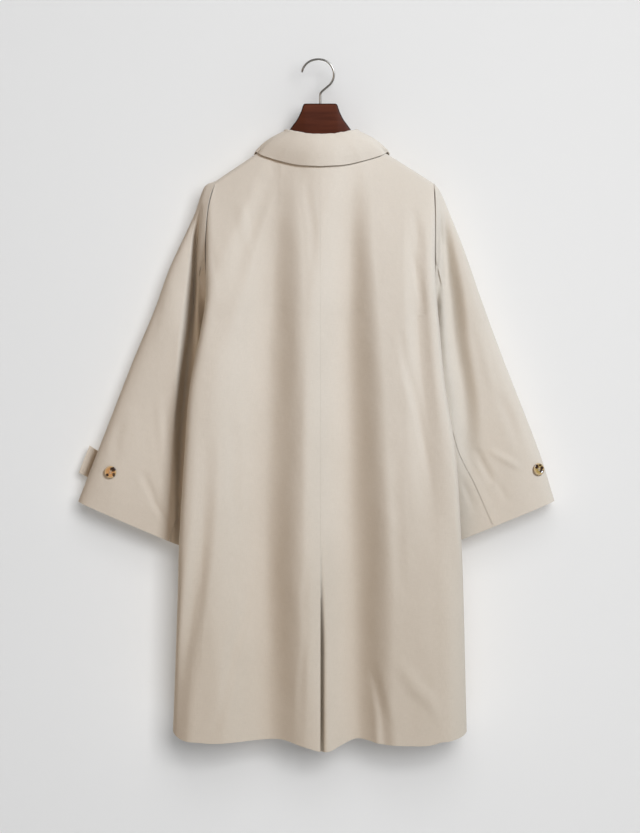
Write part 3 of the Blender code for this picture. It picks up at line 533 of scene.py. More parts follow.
def twillMaterial():
    made, tree, shader = newMaterial("cottonTwill")
    where, lay = objectSpace(tree), pieceMap(tree, "lay")
    yarns = (addNoise(tree, lay, **cloth["yarn"]), addNoise(tree, lay, **cloth["weft"]))
    slow = addMath(tree, "Math", "MULTIPLY", addNoise(tree, where, **cloth["slow"]), cloth["slowShare"])
    both = addMath(tree, "Math", "ADD", *yarns)
    share = addMath(tree, "Math", "MULTIPLY_ADD", both, cloth["yarnShare"], slow)
    height = addNode(tree, "SeparateXYZ", {"Vector": where}).outputs["Z"]
    # painted shade: the cloth's colour darkens toward the hem between these heights
    hemShade = mixColour(tree, smoothRange(tree, height, *cloth["hemShadeZ"]), cloth["hemShadeTone"], (1, 1, 1))
    colour = addMath(tree, "VectorMath", "MULTIPLY", addRamp(tree, share, cloth), hemShade)
    wave = {"Vector": lay, "Scale": cloth["waveLength"] / cloth["twillPitch"], **cloth["wave"]}
    ribs = addNode(tree, "TexWave", wave, wave_type="BANDS", bands_direction="DIAGONAL").outputs["Fac"]
    fine = addBump(tree, ribs, *cloth["twillBump"])
    soft = addBump(tree, addNoise(tree, where, **cloth["mottle"]), *cloth["mottleBump"], fine)
    setLook(tree, shader, colour, cloth["rough"], soft, cloth["surface"])
    return made


twill = twillMaterial()


def addObject(name, data, material=None):
    if material:
        data.materials.clear()
        data.materials.append(material)
    obj = bpy.data.objects.new(name, data)
    bpy.context.scene.collection.objects.link(obj)
    return obj


def meshFrom(name, mesh):
    data = bpy.data.meshes.new(name)
    mesh.to_mesh(data)
    mesh.free()
    return data


def addSmooth(name, mesh, material, angle):
    data = meshFrom(name, mesh)
    data.shade_smooth()
    data.set_sharp_from_angle(angle=math.radians(angle))
    return addObject(name, data, material)


sharpAngle = {"cloth": 60, "hard": 35}


def nodeName(name):
    return "".join("_" + c.lower() if c.isupper() or c.isdigit() else c for c in name)


def settlePiece(obj, replaces=True):
    groups["coat"].objects.link(obj)
    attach(obj, "root")
    if replaces:
        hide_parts(nodeName(obj.name))


def wholeOf(mesh):
    return mesh.verts[:] + mesh.edges[:] + mesh.faces[:]


def only(kind, geometry):
    return [element for element in geometry if isinstance(element, kind)]


def addWall(mesh, thick, lay):  # the wall lies half to each side of the surface
    sheet, rim = mesh.verts[:], [edge for edge in mesh.edges if edge.is_boundary]
    copied = bmesh.ops.duplicate(mesh, geom=wholeOf(mesh))
    twin = copied["vert_map"]
    bmesh.ops.reverse_faces(mesh, faces=only(bmesh.types.BMFace, copied["geom"]))
    for vert in sheet:
        shift = vert.normal * thick / 2
        twin[vert].co = vert.co - shift
        vert.co = vert.co + shift
    for edge in rim:
        loop = edge.link_loops[0]
        ahead = loop.link_loop_next
        start, end = loop[lay].uv.copy(), ahead[lay].uv.copy()
        face = mesh.faces.new((ahead.vert, loop.vert, twin[loop.vert], twin[ahead.vert]))
        for corner, uv in zip(face.loops, (end, start, start, end)):
            corner[lay].uv = uv


def clothGrid(name, point, grid, size, wall, keep):
    across, along = grid
    mesh = bmesh.new()
    bmesh.ops.create_grid(mesh, x_segments=across, y_segments=along, size=1)
    lay = mesh.loops.layers.uv.new("lay")
    where = {vert: ((vert.co.x + 1) / 2, (vert.co.y + 1) / 2) for vert in mesh.verts}
    for face in mesh.faces:
        for loop in face.loops:
            u, v = where[loop.vert]
            loop[lay].uv = (u * size[0], v * size[1])
    if keep:
        dropped = [f for f in mesh.faces if not keep([where[v] for v in f.verts])]
        bmesh.ops.delete(mesh, geom=dropped, context="FACES")
    for vert in mesh.verts:
        vert.co = place(point(*where[vert]))
    bmesh.ops.recalc_face_normals(mesh, faces=mesh.faces)
    mesh.normal_update()
    addWall(mesh, wall, lay)
    if mesh.calc_volume(signed=True) < 0:
        bmesh.ops.reverse_faces(mesh, faces=mesh.faces)
    return addSmooth(name, mesh, twill, sharpAngle["cloth"])


def makePanel(name, point, cut, wall=coat["wall"], keep=None):
    obj = clothGrid(name, point, cut["grid"], cut["lay"], wall, keep)
    settlePiece(obj)
    cut.get("area")


vent = {
    "topZ": -0.838,
    "underlap": 0.038,
    "share": 0.115,
    "rise": 0.004,
    "sink": (0.003, 0.017),  # depth of the gap beside the flap, at its top and at the hem
    "wide": (0.0032, 0.0052),
    "sinkOver": 0.16,
    "openAbove": 0.035,
    "openOver": 0.05,
}
backPanel = {
    "seed": 3,
    "lap": {1: 0, -1: 0.10},  # share of the columns that are in the underlap
    "cut": {
        1: {"grid": (120, 240), "lay": (0.34, 1.03), "flat": (0.36, 1.06), "area": 0.33},
        -1: {"grid": (120, 240), "lay": (0.38, 1.03), "flat": (0.40, 1.06), "area": 0.34},
    },
}


def ventSink(x, z):
    lower = ease((vent["topZ"] - z) / vent["sinkOver"])
    down = ease((vent["topZ"] + vent["openAbove"] - z) / vent["openOver"])
    wide = mix(*vent["wide"], lower)
    return mix(*vent["sink"], lower) * down * math.exp(-((max(x, 0) / wide) ** 2))


def backPoint(side, a, t):
    z = columnHeight(side, a, t, True)
    if a < 0:
        x = a * vent["underlap"]
        y = clothDepth(-side, -x, z, True)
    else:
        x, fall = backAcross(side, a, z)
        x = max(x, coat["centreGap"])
        y = clothDepth(side, x, z, True) - fall
    if side < 0:
        y -= ventSink(x, z)
    edgeX, ends = backEdge(side, z)[0], shoulder[side]
    top = mix(ends["neckZ"], ends["tipZ"], ease((x - calm["neck"]) / calm["slope"]))
    free = ease((edgeX - x) / calm["side"]) * ease((top - calm["drop"] - z) / calm["top"])
    y += (uneven(side * x, z, backPanel["seed"]) - creased(backCreases, side * x, z)) * free
    return Vector((side * x, y, z))


def makeBack(side):
    lap = backPanel["lap"][side]

    def point(u, v):
        return backPoint(side, lapShare(u, lap), heightShare(side, v))

    def keep(corners):  # the underlap starts below the vent's top
        if min(u for u, _ in corners) >= lap - tiny:
            return True
        return max(backPoint(side, 0, heightShare(side, v)).z for _, v in corners) < vent["topZ"]

    makePanel(sided("back", side), point, backPanel["cut"][side], keep=keep)


frontPanel = {
    "seed": 11,
    "cut": {"grid": (70, 160), "lay": (0.27, 1.02), "flat": (0.29, 1.06), "area": 0.24},
    "lapShare": 0.08,  # share of the columns that are in the lap
    "lap": 0.020,  # past the middle
    "lift": 0.0012,  # of the lapping front, and as much down for the other
    "ease": 0.020,
    "least": 0.00015,  # how near the cloth comes to the coat's middle plane
}


def frontPoint(side, a, t):
    z = columnHeight(side, max(a, 0), t, False)
    edgeX, edgeY = frontEdge(side, z)
    full = clothDepth(side, min(edgeX, shoulder[side]["tipX"]), z, False)
    swell = max(full - edgeY, 0.0)
    flat = edgeX - swell
    length = flat + swell * math.pi / 2
    along = a * length if a >= 0 else a * frontPanel["lap"]
    if along <= flat:
        x, depth = along, clothDepth(side, abs(along), z, False)
    else:
        angle = (along - flat) / max(swell, tiny)
        x = flat + swell * math.sin(angle)
        depth = edgeY + swell * math.cos(angle)
        depth += (clothDepth(side, x, z, False) - full) * math.cos(angle)
    lap = frontPanel["lift"] * ease((frontPanel["lap"] + frontPanel["ease"] - x) / frontPanel["ease"])
    depth += lap if side < 0 else -lap
    free = ease((x - calm["neck"]) / calm["side"]) * ease((edgeX - x) / calm["side"])
    free *= ease((topEdge(side, max(x, 0), False)[0] - z) / calm["top"])
    depth += (uneven(side * x, z, frontPanel["seed"]) - creased(frontCreases, side * x, z)) * free
    return Vector((side * x, -max(depth, frontPanel["least"]), z))


def makeFront(side):
    def point(u, v):
        return frontPoint(side, lapShare(u, frontPanel["lapShare"]), heightShare(side, v))

    makePanel(sided("front", side), point, frontPanel["cut"])


sleeve = {
    "clear": 0.003,  # from the body's side, and as much further at the hem as "spread" says
    "spread": 0.024,
    "gap": 0.0003,  # from each edge to its seam
    "square": 4,  # of its section; 2 is an ellipse
    "bunched": 0.25,  # how much closer the rows lie toward the cap
    "innerHem": {1: -0.821, -1: -0.811},
    "edge": {
        1: table(
            "s x z",
            (0.000, 0.1775, -0.2018),
            (0.030, 0.1950, -0.2100),
            (0.087, 0.2117, -0.2545),
            (0.270, 0.2554, -0.3470),
            (0.400, 0.2806, -0.4160),
            (0.565, 0.3175, -0.5030),
            (0.780, 0.3632, -0.6200),
            (1.000, 0.4110, -0.7420),
        ),
        -1: table(
            "s x z",
            (0.000, 0.1915, -0.2052),
            (0.030, 0.2020, -0.2180),
            (0.087, 0.2176, -0.2530),
            (0.200, 0.2436, -0.3167),
            (0.360, 0.2732, -0.4007),
            (0.530, 0.3074, -0.4931),
            (0.830, 0.3713, -0.6577),
            (1.000, 0.3975, -0.7410),
        ),
    },
    "depth": table(
        "s outer inner back front",
        (0.00, 0.000, -0.0225, 0.024, 0.018),
        (0.05, -0.006, -0.0300, 0.016, 0.022),
        (0.10, -0.012, -0.0350, 0.0175, 0.022),
        (0.20, -0.020, -0.0360, 0.026, 0.022),
        (0.35, -0.026, -0.0360, 0.034, 0.021),
        (0.60, -0.030, -0.0360, 0.034, 0.019),
        (0.80, -0.032, -0.0360, 0.039, 0.017),
        (1.00, -0.033, -0.0350, 0.040, 0.015),
    ),
    "backSeam": table(
        "s left right",
        (0.00, 135, 135),
        (0.60, 150, 131),
        (0.80, 142, 116),
        (1.00, 134, 103.5),
    ),
    "frontSeam": (-120, -118),
    "trough": {
        1: foldTable(
            (-0.820, 0.2410, 0.005, 0.030, 0.004),
            (-0.740, 0.2400, 0.006, 0.030, 0.007),
            (-0.690, 0.2395, 0.007, 0.034, 0.012),
            (-0.640, 0.2385, 0.009, 0.036, 0.020),
            (-0.600, 0.2360, 0.011, 0.036, 0.026),
            (-0.548, 0.2310, 0.013, 0.034, 0.031),
            (-0.486, 0.2250, 0.015, 0.020, 0.031),
            (-0.424, 0.2182, 0.015, 0.011, 0.028),
            (-0.361, 0.2130, 0.012, 0.008, 0.024),
            (-0.300, 0.2085, 0.010, 0.007, 0.018),
            (-0.262, 0.2030, 0.009, 0.006, 0.008),
            (-0.235, 0.1990, 0.008, 0.006, 0.000),
        ),
        -1: foldTable(
            (-0.710, 0.258, 0.030, 0.030, 0.000),
            (-0.650, 0.249, 0.026, 0.026, 0.006),
            (-0.567, 0.244, 0.026, 0.024, 0.012),
            (-0.483, 0.231, 0.025, 0.022, 0.013),
            (-0.399, 0.223, 0.024, 0.020, 0.013),
            (-0.315, 0.212, 0.018, 0.015, 0.009),
            (-0.255, 0.202, 0.014, 0.012, 0.002),
            (-0.230, 0.199, 0.014, 0.012, 0.000),
        ),
    },
    "cleft": foldTable(  # beside the right armhole
        (-0.365, 0.199, 0.010, 0.007, 0.000),
        (-0.335, 0.199, 0.010, 0.007, 0.007),
        (-0.295, 0.199, 0.011, 0.007, 0.011),
        (-0.245, 0.197, 0.008, 0.006, 0.007),
        (-0.205, 0.195, 0.005, 0.005, 0.000),
    ),
    "capWide": 0.36,  # how far down the armhole's outline still shows
    "capDeep": 0.14,
    "creaseStart": 0.04,
    "seed": 20,
    "uneven": 0.8,  # share of the body's unevenness
    "roundOff": 1.7,  # how soon creases come up to their full depth from the sides; more is sooner
    "seamLift": 0.0007,  # the top sleeve laps over the under sleeve at the back seam
    "lip": (0.965, 0.02, 0.2),  # where the lap starts, how soon it is full, and how far down
    "cut": {
        "Top": {"grid": (84, 120), "lay": (0.33, 0.58), "flat": (0.30, 0.62)},
        "Under": {"grid": (36, 120), "lay": (0.12, 0.5), "flat": (0.12, 0.44)},
    },
    "area": {1: {"Top": 0.155, "Under": 0.036}, -1: {"Top": 0.135, "Under": 0.042}},
}
armhole = {
    "open": 12,  # how soon below the tip it opens by a wall; more is sooner
    "low": (0.72, 0.25),  # where the underarm's own place starts and how soon it is full
    "lowOut": 0.0009,
    "lowIn": 0.002,
    "lowDown": 0.0003,
}


def armholePoint(side, turn):
    share = (1 - math.cos(math.radians(turn))) / 2
    z = mix(shoulder[side]["tipZ"], coat["underarmZ"], share)
    low = ease((share - armhole["low"][0]) / armhole["low"][1])
    out = coat["capGap"] + coat["wall"] * ease(share * armhole["open"]) + armhole["lowOut"] * low
    if -180 < (turn + 180) % 360 - 180 < 0:
        x, depth = frontEdge(side, z)
        return Vector((x + out, -depth, z))
    x, depth = backEdge(side, z)
    return Vector((x + out, depth - armhole["lowIn"] * low, z - armhole["lowDown"] * low))


def sleeveOval(side, s, turn):
    angle = math.radians((turn + 180) % 360 - 180)
    edge, depth = sleeve["edge"][side], sleeve["depth"]
    outer = Vector((read(edge, "x", s, "s"), 0, read(edge, "z", s, "s")))
    innerZ = mix(coat["underarmZ"], sleeve["innerHem"][side], s)
    innerX = backEdge(side, innerZ)[0] + sleeve["clear"] + sleeve["spread"] * s
    share = (1 + math.cos(angle)) / 2
    point = Vector((innerX, 0, innerZ)).lerp(outer, share)
    middle = mix(read(depth, "inner", s, "s"), read(depth, "outer", s, "s"), share)
    swell = read(depth, "back" if math.sin(angle) > 0 else "front", s, "s")
    full = (1 - abs(math.cos(angle)) ** sleeve["square"]) ** (1 / sleeve["square"])
    point.y = middle + swell * math.copysign(full, angle)
    return point


def sleevePoint(side, s, turn):
    point = sleeveOval(side, s, turn)
    off = armholePoint(side, turn) - sleeveOval(side, 0, turn)
    wide = 1 - ease(s / sleeve["capWide"])
    deep = 1 - ease(s / sleeve["capDeep"])
    point += Vector((off.x * wide, off.y * deep, off.z * wide))
    facing = math.sin(math.radians(turn))
    sunk = -uneven(point.x, point.z, sleeve["seed"] + side) * sleeve["uneven"]
    if facing > 0:
        hollows = [sleeve["trough"][side]] + ([sleeve["cleft"]] if side < 0 else [])
        sunk += dip(hollows, point.x, point.z) + creased(sleeveCreases[side], point.x, point.z)
    else:
        sunk += creased(elbowCreases, point.x, point.z)
    share = math.copysign(min(sleeve["roundOff"] * abs(facing), 1), facing)
    return Vector((side * point.x, point.y - sunk * share * ease(s / sleeve["creaseStart"]), point.z))


def nudge(side, s, turn, distance):
    arc = (sleevePoint(side, s, turn + 0.5) - sleevePoint(side, s, turn - 0.5)).length  # of a degree
    return turn + distance / arc


def makeSleeve(side):
    gap, lip, bunched = sleeve["gap"], sleeve["lip"], sleeve["bunched"]

    def row(v):  # how far down the sleeve, and where the front and back seams are there
        s = v * v * bunched + v * (1 - bunched)
        return s, mix(*sleeve["frontSeam"], s), read(sleeve["backSeam"], sideName(side), s, "s")

    def top(u, v):
        s, front, back = row(1 - v)
        start, end = nudge(side, s, front, gap), nudge(side, s, back, -gap)
        point = sleevePoint(side, s, mix(start, end, u))
        point.y += sleeve["seamLift"] * ease((u - lip[0]) / lip[1]) * ease(s / lip[2])
        return point

    def under(u, v):
        s, front, back = row(1 - v)
        start, end = nudge(side, s, back, gap), nudge(side, s, front + 360, -gap)
        return sleevePoint(side, s, mix(start, end, u))

    for part, point in (("Top", top), ("Under", under)):
        cut = {**sleeve["cut"][part], "area": sleeve["area"][side][part]}
        makePanel(sided("sleeve", side) + part, point, cut)


collar = {
    "reach": {1: {"fold": 0.0585, "edge": 0.1110}, -1: {"fold": 0.0630, "edge": 0.1165}},
    "line": table(
        "turn foldZ edgeX edgeZ",
        (0, -0.1259, 0.000, -0.1797),
        (20, -0.1248, 0.330, -0.1766),
        (40, -0.1213, 0.640, -0.1678),
        (60, -0.1178, 0.870, -0.1590),
        (90, -0.1160, 1.000, -0.1525),
        (120, -0.1330, 0.960, -0.1900),
        (150, -0.1720, 0.760, -0.2500),
        (180, -0.2150, 0.520, -0.2950),
    ),
    "end": 178.4,  # degrees from the back's middle
    "lift": 0.0039,  # from the body's surface to the fall's
    "foldY": {True: 0.035, False: 0.044},
    "foldSquare": 0.6,
    "foldRadius": 0.0028,
    "foldWaves": ((9, 3, 0.0007), (3.5, 5, 0.0005)),  # degrees, seed and height
    "standShare": 0.6,
    "standIn": (0.0016, 0.0008, 0.0003),  # up from the seam, inward, and short of the fold
    "foldStart": 0.20,
    "foldEnd": 0.40,
    "bulge": 0.004,
    "bulgeUp": 0.5,
    "wall": 0.0018,
    "cut": {
        "Stand": {"grid": (200, 8), "lay": (0.36, 0.02), "flat": (0.42, 0.03), "area": 0.006},
        "Fall": {"grid": (240, 44), "lay": (0.5, 0.09), "flat": (0.56, 0.13), "area": 0.045},
    },
}


def halfOf(turn):  # turns run from the back's middle, to the left above zero
    return 1 if turn >= 0 else -1, math.radians(abs(turn)), abs(turn) <= 90


def neckSeam(turn):
    side, angle, back = halfOf(turn)
    x = neckX(side) * min(math.sin(angle), 1.0)
    z, depth = topEdge(side, x, back)
    return Vector((side * x, depth if back else -depth, z))


def outward(turn):
    return Vector((math.sin(math.radians(turn)), math.cos(math.radians(turn)), 0))


def collarFold(turn):
    side, angle, back = halfOf(turn)
    y = collar["foldY"][back] * abs(math.cos(angle)) ** collar["foldSquare"]
    x = collar["reach"][side]["fold"] * math.sin(angle)
    z = read(collar["line"], "foldZ", abs(turn), "turn")
    z += sum(high * noise.noise(Vector((turn / wide, seed, 0))) for wide, seed, high in collar["foldWaves"])
    return Vector((side * x, y if back else -y, z))


def clearOfBody(point):
    side, back, x = (1 if point.x >= 0 else -1), point.y >= 0, abs(point.x)
    if point.z > topEdge(side, x, back)[0] + collar["lift"]:
        return point
    least = clothDepth(side, x, point.z, back) + collar["lift"]
    least += 0 if back else 2 * frontPanel["lift"]
    depth = max(abs(point.y), least)
    return Vector((point.x, depth if back else -depth, point.z))


def collarEdge(turn):
    side, angle, _ = halfOf(turn)
    x = side * collar["reach"][side]["edge"] * read(collar["line"], "edgeX", abs(turn), "turn")
    z = read(collar["line"], "edgeZ", abs(turn), "turn")
    return clearOfBody(Vector((x, math.cos(angle) * 1e-3, z)))  # which moves it out to the surface


def standTop(turn):
    inside = collarFold(turn) - outward(turn) * collar["foldRadius"]
    return neckSeam(turn).lerp(inside, collar["standShare"])


def standPoint(turn, share):
    start, end = neckSeam(turn), standTop(turn)
    up, inward, short = collar["standIn"]
    rise = (end - start).normalized()
    start = start + rise * up - outward(turn) * inward
    return start.lerp(end - rise * short, share)


def fallPoint(turn, share):
    fold, edge, out = collarFold(turn), collarEdge(turn), outward(turn)
    drop = Vector((0, 0, collar["foldRadius"]))
    inside = fold - out * collar["foldRadius"] - drop
    outside = fold + out * collar["foldRadius"] - drop
    if share <= collar["foldStart"]:
        return standTop(turn).lerp(inside, share / collar["foldStart"])
    if share <= collar["foldEnd"]:
        angle = math.pi * (share - collar["foldStart"]) / (collar["foldEnd"] - collar["foldStart"])
        return inside.lerp(outside, (1 - math.cos(angle)) / 2) + drop * math.sin(angle)
    down = (share - collar["foldEnd"]) / (1 - collar["foldEnd"])
    bulge = collar["bulge"] * math.sin(math.pi * down)
    return clearOfBody(outside.lerp(edge, down) + (out + Vector((0, 0, collar["bulgeUp"]))) * bulge)


def makeCollar():
    for part, shape, wall in (("Stand", standPoint, coat["wall"]), ("Fall", fallPoint, collar["wall"])):

        def point(u, v):
            return shape(mix(-collar["end"], collar["end"], u), v)

        makePanel("collar" + part, point, collar["cut"][part], wall)


strap = {
    "middle": 0.889,
    "width": 0.047,
    "wall": 0.0025,
    "lift": 0.0025,
    "start": -0.55,
    "end": {1: 0.019, -1: -0.023},
    "half": 0.07,  # half the sleeve's width there, about
    "straight": 0.80,  # it leaves the sleeve's curve at this share of the half width
    "flat": 0.60,
    "bend": 0.016,  # its end stands back from the sleeve's edge
    "bendStart": 0.82,
    "bendOver": 0.3,
    "border": 0.005,  # from its edge to the stitched line
    "groove": 0.0004,
    "grooveWide": 0.0007,
    "cut": {
        1: {"grid": (110, 60), "lay": (0.13, 0.047), "flat": (0.165, 0.047)},
        -1: {"grid": (110, 60), "lay": (0.13, 0.047), "flat": (0.10, 0.047)},
    },
}


def sleeveFront(side, s, across):
    return sleevePoint(side, s, -math.degrees(math.acos(max(-1, min(across, 1)))))


def strapLength(side):
    return (1 + strap["end"][side] / strap["half"] - strap["start"]) * strap["half"]


def strapPoint(side, share, along):
    length = 2 * (sleevePoint(side, 1, 0) - sleevePoint(side, 0.5, 0)).length
    s = strap["middle"] + along * strap["width"] / 2 / length
    outer, inner = sleevePoint(side, s, 0), sleevePoint(side, s, 180)
    half = (outer - inner).length / 2
    across = mix(strap["start"], 1 + strap["end"][side] / half, share)
    held = min(across, strap["straight"])
    point = sleeveFront(side, s, held) + (outer - inner).normalized() * (across - held) * half
    bend = strap["bend"] * ease((across - strap["bendStart"]) / strap["bendOver"])
    point.y = sleeveFront(side, s, min(across, strap["flat"])).y - strap["lift"] + bend
    inset = min((1 - abs(along)) * strap["width"] / 2, (1 - share) * strapLength(side))
    point.y += strap["groove"] * math.exp(-(((inset - strap["border"]) / strap["grooveWide"]) ** 2))
    return point


def makeStrap(side):
    def point(u, v):
        return strapPoint(side, u, 1 - 2 * v)

    makePanel(sided("strap", side), point, strap["cut"][side], strap["wall"])


# Thread: rows of small stitches along a line on a surface.
thread = {
    "pale": (0.66, 0.60, 0.51),
    "deep": (0.54, 0.48, 0.39),
    "tones": (0.3, 0.7),
    "twist": {"scale": 900, "detail": 2},
    "bump": (0.4, 0.0001),
    "rough": 0.7,
    "surface": {"Sheen Weight": 0.1},
    "length": 0.0024,
    "width": 0.0006,
    "flat": 0.8,
    "pitch": 0.0031,
    "lift": 0.0001,
    "steps": 700,
    "quickSteps": 160,
    "shortSteps": 60,
    "frontIn": -0.7,  # share of the front's lap
    "frontEnds": (0.006, 0.985),
    "collarIn": 0.006,
    "collarLeast": 0.02,
    "collarFace": (0.25, 0.02),  # how far its stitches face sideways and up
    "strapStart": 0.02,
}
buttonhole = {"edges": (-0.0009, 0.0009), "ends": (-0.006, -0.026), "share": 0.05, "steps": 40}


def threadMaterial():
    made, tree, shader = newMaterial("cottonThread")
    twist = addNoise(tree, objectSpace(tree), **thread["twist"])
    bump = addBump(tree, twist, *thread["bump"])
    setLook(tree, shader, addRamp(tree, twist, thread), thread["rough"], bump, thread["surface"])
    return made


cottonThread = threadMaterial()


def addStitch(mesh, middle, along, facing, length, width):
    made = bmesh.ops.create_uvsphere(mesh, u_segments=6, v_segments=4, radius=0.5)
    side = facing.cross(along).normalized()
    facing = along.cross(side).normalized()
    turn = Matrix((side, facing, along.normalized())).transposed().to_4x4()
    size = Matrix.Diagonal((width, width * thread["flat"], length, 1))
    bmesh.ops.transform(mesh, matrix=Matrix.Translation(middle) @ turn @ size, verts=made["verts"])


def stitchLine(mesh, point, steps, facing, rise, across=False):  # point gives the line from 0 to 1
    line = [point(k / steps) for k in range(steps + 1)]
    gone, last = thread["pitch"], line[0]
    for at in line[1:]:
        gone += (at - last).length
        if gone >= thread["pitch"] * (0.5 if across else 1):
            gone = 0
            along = (at - last).normalized()
            out = facing(at)
            if across:
                along = out.cross(along)
            addStitch(mesh, place(at) + out * rise, along, out, thread["length"], thread["width"])
        last = at


def facingOf(surface, u, v, back):  # the way the cloth faces, out of its back or its front
    step = 0.004
    across = surface(u + step, v) - surface(u - step, v)
    along = surface(u, v + step) - surface(u, v - step)
    out = across.cross(along).normalized()
    return out if (out.y > 0) == back else -out


def forward(point):
    return Vector((0, -1, 0))


def collarStitch(share):
    turn = mix(-collar["end"], collar["end"], share)
    length = max((collarEdge(turn) - collarFold(turn)).length, thread["collarLeast"])
    return fallPoint(turn, 1 - (1 - collar["foldEnd"]) * thread["collarIn"] / length)


def collarFacing(point):
    sideways, up = thread["collarFace"]
    return Vector((point.x * sideways, point.y, up)).normalized()


def frontShare(z):  # a height's share of the right front's edge
    hemZ, topZ = frontPoint(-1, 0, 0).z, frontPoint(-1, 0, 1).z
    return (z - hemZ) / (topZ - hemZ)


def strapStitches(mesh, side):
    long = (strap["width"] - 2 * strap["border"]) / strap["width"]
    start, end = thread["strapStart"], 1 - strap["border"] / strapLength(side)
    corners = [(start, long), (end, long), (end, -long), (start, -long)]
    for first, second in zip(corners, corners[1:]):

        def point(k):
            return strapPoint(side, mix(first[0], second[0], k), mix(first[1], second[1], k))

        stitchLine(mesh, point, thread["shortSteps"], forward, strap["wall"] / 2 - thread["lift"])


def buttonholeStitches(mesh, z, rise):
    def point(k):  # on the right front's surface, near its edge
        y = frontPoint(-1, buttonhole["share"], frontShare(z)).y
        return Vector((mix(*buttonhole["ends"], k), y, z))

    stitchLine(mesh, point, buttonhole["steps"], forward, rise, across=True)


def makeStitches():
    steps = thread["steps"]
    mesh = bmesh.new()

    def frontLine(k):
        return frontPoint(-1, thread["frontIn"], mix(*thread["frontEnds"], k))

    rise = coat["wall"] / 2 + thread["lift"]
    stitchLine(mesh, frontLine, steps, forward, rise)
    stitchLine(mesh, collarStitch, steps, collarFacing, collar["wall"] / 2 + thread["lift"])
    for side in (1, -1):
        strapStitches(mesh, side)
    for number in range(frontButton["count"]):
        for edge in buttonhole["edges"]:
            buttonholeStitches(mesh, frontButton["topZ"] - number * frontButton["step"] + edge, rise)
    obj = addSmooth("topstitching", mesh, cottonThread, sharpAngle["cloth"])
    settlePiece(obj, replaces=False)


# Buttons of polished tortoiseshell. Patches are in shares of the radius, seen from the front.
button = {
    "radius": 0.0100,
    "swell": 1.04,  # wider than its rim's table by this
    "gap": 0.0003,  # off the cloth
    "hole": 0.0009,
    "spread": 0.0023,  # from its middle to each hole
    "segments": 48,
    "holeSegments": 14,
    "strapInset": 0.026,  # from the strap's end
    "strapTurn": 140,  # degrees that the buttons are turned by, so that no two look the same
    "frontTurn": 73,
    "rimPale": (0.56, 0.42, 0.24),
    "rim": (0.66, 0.92),
    "dark": (0.035, 0.012, 0.004),
    "patchEdge": (1.12, 0.80),
    "cloud": {"scale": 2.2, "detail": 4},
    "cloudBend": 0.5,
    "streaks": {"scale": 5, "detail": 3, "stretch": (1, 0.4, 1)},
    "streakTones": (0.7, 1.25),
    "scuffs": {"scale": 26, "detail": 3},
    "rough": (0.18, 0.34),
    "bump": (0.15, 0.0001),
    "surface": {"Coat Weight": 0.3},
}
buttonRim = table(
    "out z",
    (0.0050, 0.0026),
    (0.0062, 0.0027),
    (0.0072, 0.0031),
    (0.0080, 0.0034),
    (0.0088, 0.0034),
    (0.0095, 0.0031),
    (0.0099, 0.0026),
    (0.0100, 0.0020),
    (0.0097, 0.0012),
    (0.0090, 0.0005),
    (0.0080, 0.0001),
    (0.0050, 0.0000),
)
shell = {
    "amber": {
        "middle": (0.58, 0.30, 0.115),
        "patches": table(
            "x y wide tall",
            (0.42, 0.44, 0.50, 0.40),
            (-0.50, -0.42, 0.26, 0.24),
            (0.56, -0.42, 0.26, 0.34),
        ),
    },
    "olive": {
        "middle": (0.42, 0.29, 0.10),
        "patches": table(
            "x y wide tall",
            (-0.44, 0.42, 0.36, 0.36),
            (0.22, 0.66, 0.20, 0.18),
            (0.52, 0.14, 0.32, 0.30),
            (0.44, -0.34, 0.36, 0.32),
        ),
    },
}
frontButton = {"count": 5, "topZ": -0.270, "step": 0.160, "share": 0.011}
backButton = {1: {"s": 0.875, "across": 0.625}, -1: {"s": 0.876, "across": 0.855}}
bar = {"strand": 0.00035, "out": 0.707, "lift": 0.00015, "reach": 0.9, "width": 0.0005}  # of thread


def lengthFrom(tree, source, middle, size):
    off = addMath(tree, "VectorMath", "SUBTRACT", source, (*middle, 0))
    share = addMath(tree, "VectorMath", "DIVIDE", off, (*size, 1))
    return addNode(tree, "VectorMath", {0: share}, operation="LENGTH").outputs["Value"]


def tortoiseshell(name):
    look = shell[name]
    made, tree, shader = newMaterial(name + "Tortoiseshell")
    disc, bend = pieceMap(tree, "disc"), button["cloudBend"]
    cloud = addNoise(tree, disc, **button["cloud"], output="Color")
    inward = (-bend / 2, -bend / 2, 0)
    shift = addMath(tree, "VectorMath", "MULTIPLY_ADD", cloud, (bend, bend, 0), inward)
    bent = addMath(tree, "VectorMath", "ADD", disc, shift)
    deep, pale = (tuple(share * c for c in look["middle"]) for share in button["streakTones"])
    colour = mixColour(tree, addNoise(tree, disc, **button["streaks"]), deep, pale)
    rim = smoothRange(tree, lengthFrom(tree, disc, (0, 0), (1, 1)), *button["rim"])
    colour = mixColour(tree, rim, colour, button["rimPale"])
    for patch in look["patches"]:
        away = lengthFrom(tree, bent, (patch["x"], patch["y"]), (patch["wide"], patch["tall"]))
        colour = mixColour(tree, smoothRange(tree, away, *button["patchEdge"]), colour, button["dark"])
    scuffs = addNoise(tree, disc, **button["scuffs"])
    rough, bump = spread(tree, scuffs, *button["rough"]), addBump(tree, scuffs, *button["bump"])
    setLook(tree, shader, colour, rough, bump, button["surface"])
    return made


tortoise = {name: tortoiseshell(name) for name in shell}


def openRing(mesh, z):
    return [e for e in mesh.edges if e.is_boundary and abs(e.verts[0].co.z - z) < tiny]


